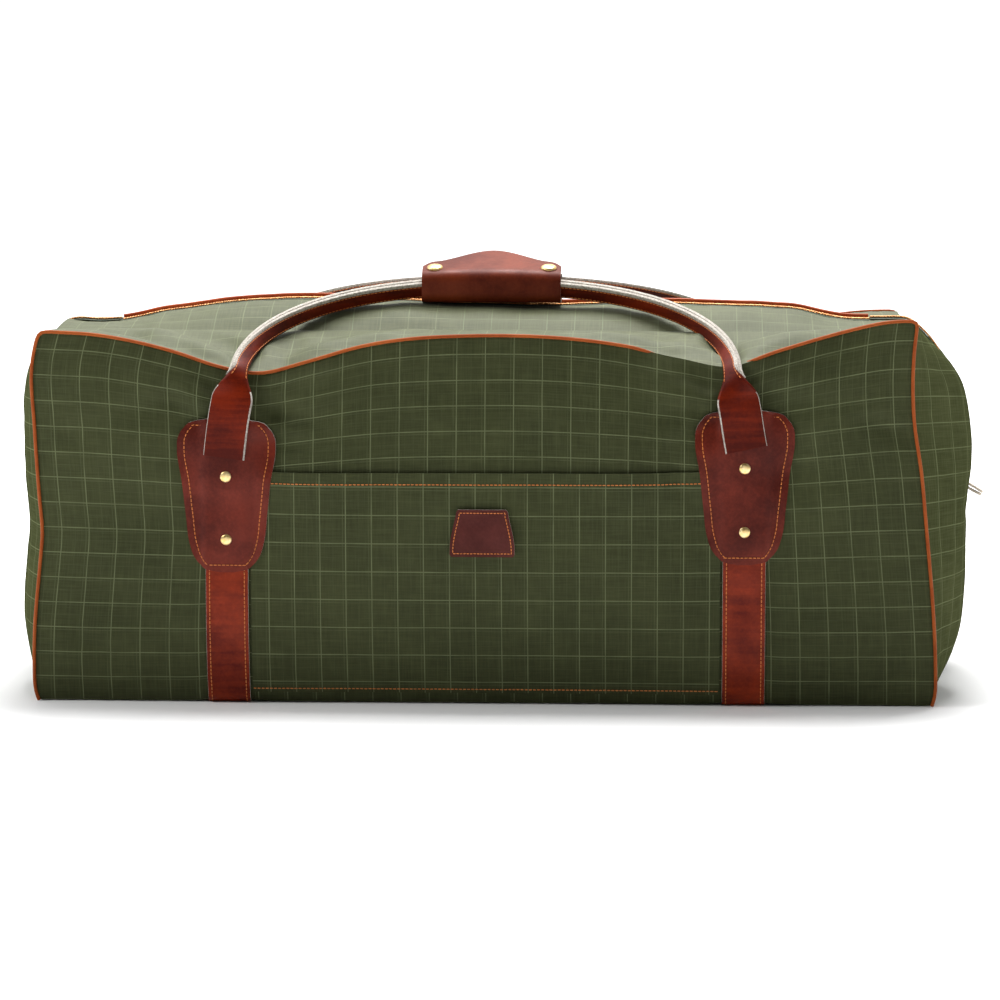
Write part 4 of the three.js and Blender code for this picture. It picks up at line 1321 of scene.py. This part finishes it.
# ---------------------------------------------------------------- stage, light and camera
def build_stage():
    """A pale floor that glows more with distance from the bag (painted light), and a sky that is brighter
    behind the bag than before it.
    """
    glowing_floor = Shader("floor", 0.9)
    glowing_floor.colour((0.97, 0.97, 0.97, 1.0))
    away = glowing_floor.node("ShaderNodeVectorMath", {0: glowing_floor.coords()}, operation="LENGTH").outputs["Value"]
    # Painted light: the floor glows, from none 0.5 m from the middle to 0.75 at 1.7 m, so the far floor reads
    # white while the shadow stays near the bag.
    glowing_floor.surface.inputs["Emission Color"].default_value = (1, 1, 1, 1)
    glowing_floor.set(glowing_floor.surface.inputs["Emission Strength"], glowing_floor.range(away, 0.5, 1.7, 0.0, 0.75))
    size = 12.0
    verts = [(-size, -size, 0), (size, -size, 0), (size, size, 0), (-size, size, 0)]
    floor = add_mesh("floor", verts, [(0, 1, 2, 3)], [glowing_floor.material], solid=False)
    world = bpy.data.worlds.new("studio")
    world.use_nodes = True
    tree = world.node_tree
    toward = tree.nodes.new("ShaderNodeTexCoord").outputs["Generated"]
    apart = tree.nodes.new("ShaderNodeSeparateXYZ")
    tree.links.new(toward, apart.inputs[0])
    brightness = tree.nodes.new("ShaderNodeMapRange")
    brightness.interpolation_type = "SMOOTHSTEP"
    for key, value in {"From Min": -0.7, "From Max": 0.5, "To Min": 0.1, "To Max": 1.08}.items():
        brightness.inputs[key].default_value = value
    tree.links.new(apart.outputs[1], brightness.inputs["Value"])
    tree.links.new(brightness.outputs[0], tree.nodes["Background"].inputs["Strength"])
    tree.nodes["Background"].inputs["Color"].default_value = (1, 1, 1, 1)
    bpy.context.scene.world = world
    bpy.context.scene.view_settings.view_transform = "Standard"


def add_light(name, place, aim, size, power):
    light = bpy.data.lights.new(name, "AREA")
    light.shape = "DISK"
    light.size = size
    light.energy = power
    lamp = bpy.data.objects.new(name, light)
    lamp.location = place
    lamp.rotation_mode = "QUATERNION"
    lamp.rotation_quaternion = (Vector(aim) - Vector(place)).to_track_quat("-Z", "Y")
    bpy.context.scene.collection.objects.link(lamp)


CAMERA_AIM = Vector((0.0115, -0.16, 0.161))
CAMERA_TURN = math.radians(2.5)
CAMERA_RISE = math.radians(7.0)
CAMERA_LENS = 150
CAMERA_AWAY = 0.77 * CAMERA_LENS / 36


def build_camera():
    data = bpy.data.cameras.new("camera")
    data.lens = CAMERA_LENS
    data.clip_end = 60
    camera = bpy.data.objects.new("camera", data)
    level = math.cos(CAMERA_RISE)
    back = Vector((math.sin(CAMERA_TURN) * level, -math.cos(CAMERA_TURN) * level, math.sin(CAMERA_RISE)))
    camera.location = CAMERA_AIM + back * CAMERA_AWAY
    camera.rotation_mode = "QUATERNION"
    camera.rotation_quaternion = (-back).to_track_quat("-Z", "Y")
    bpy.context.scene.collection.objects.link(camera)
    bpy.context.scene.camera = camera


build_stage()
add_light("key", (-1.9, -0.9, 1.9), (0, 0, 0.12), 0.7, 24)
add_light("top", (0.1, 0.7, 2.4), (0, 0, 0.25), 1.4, 105)
build_camera()
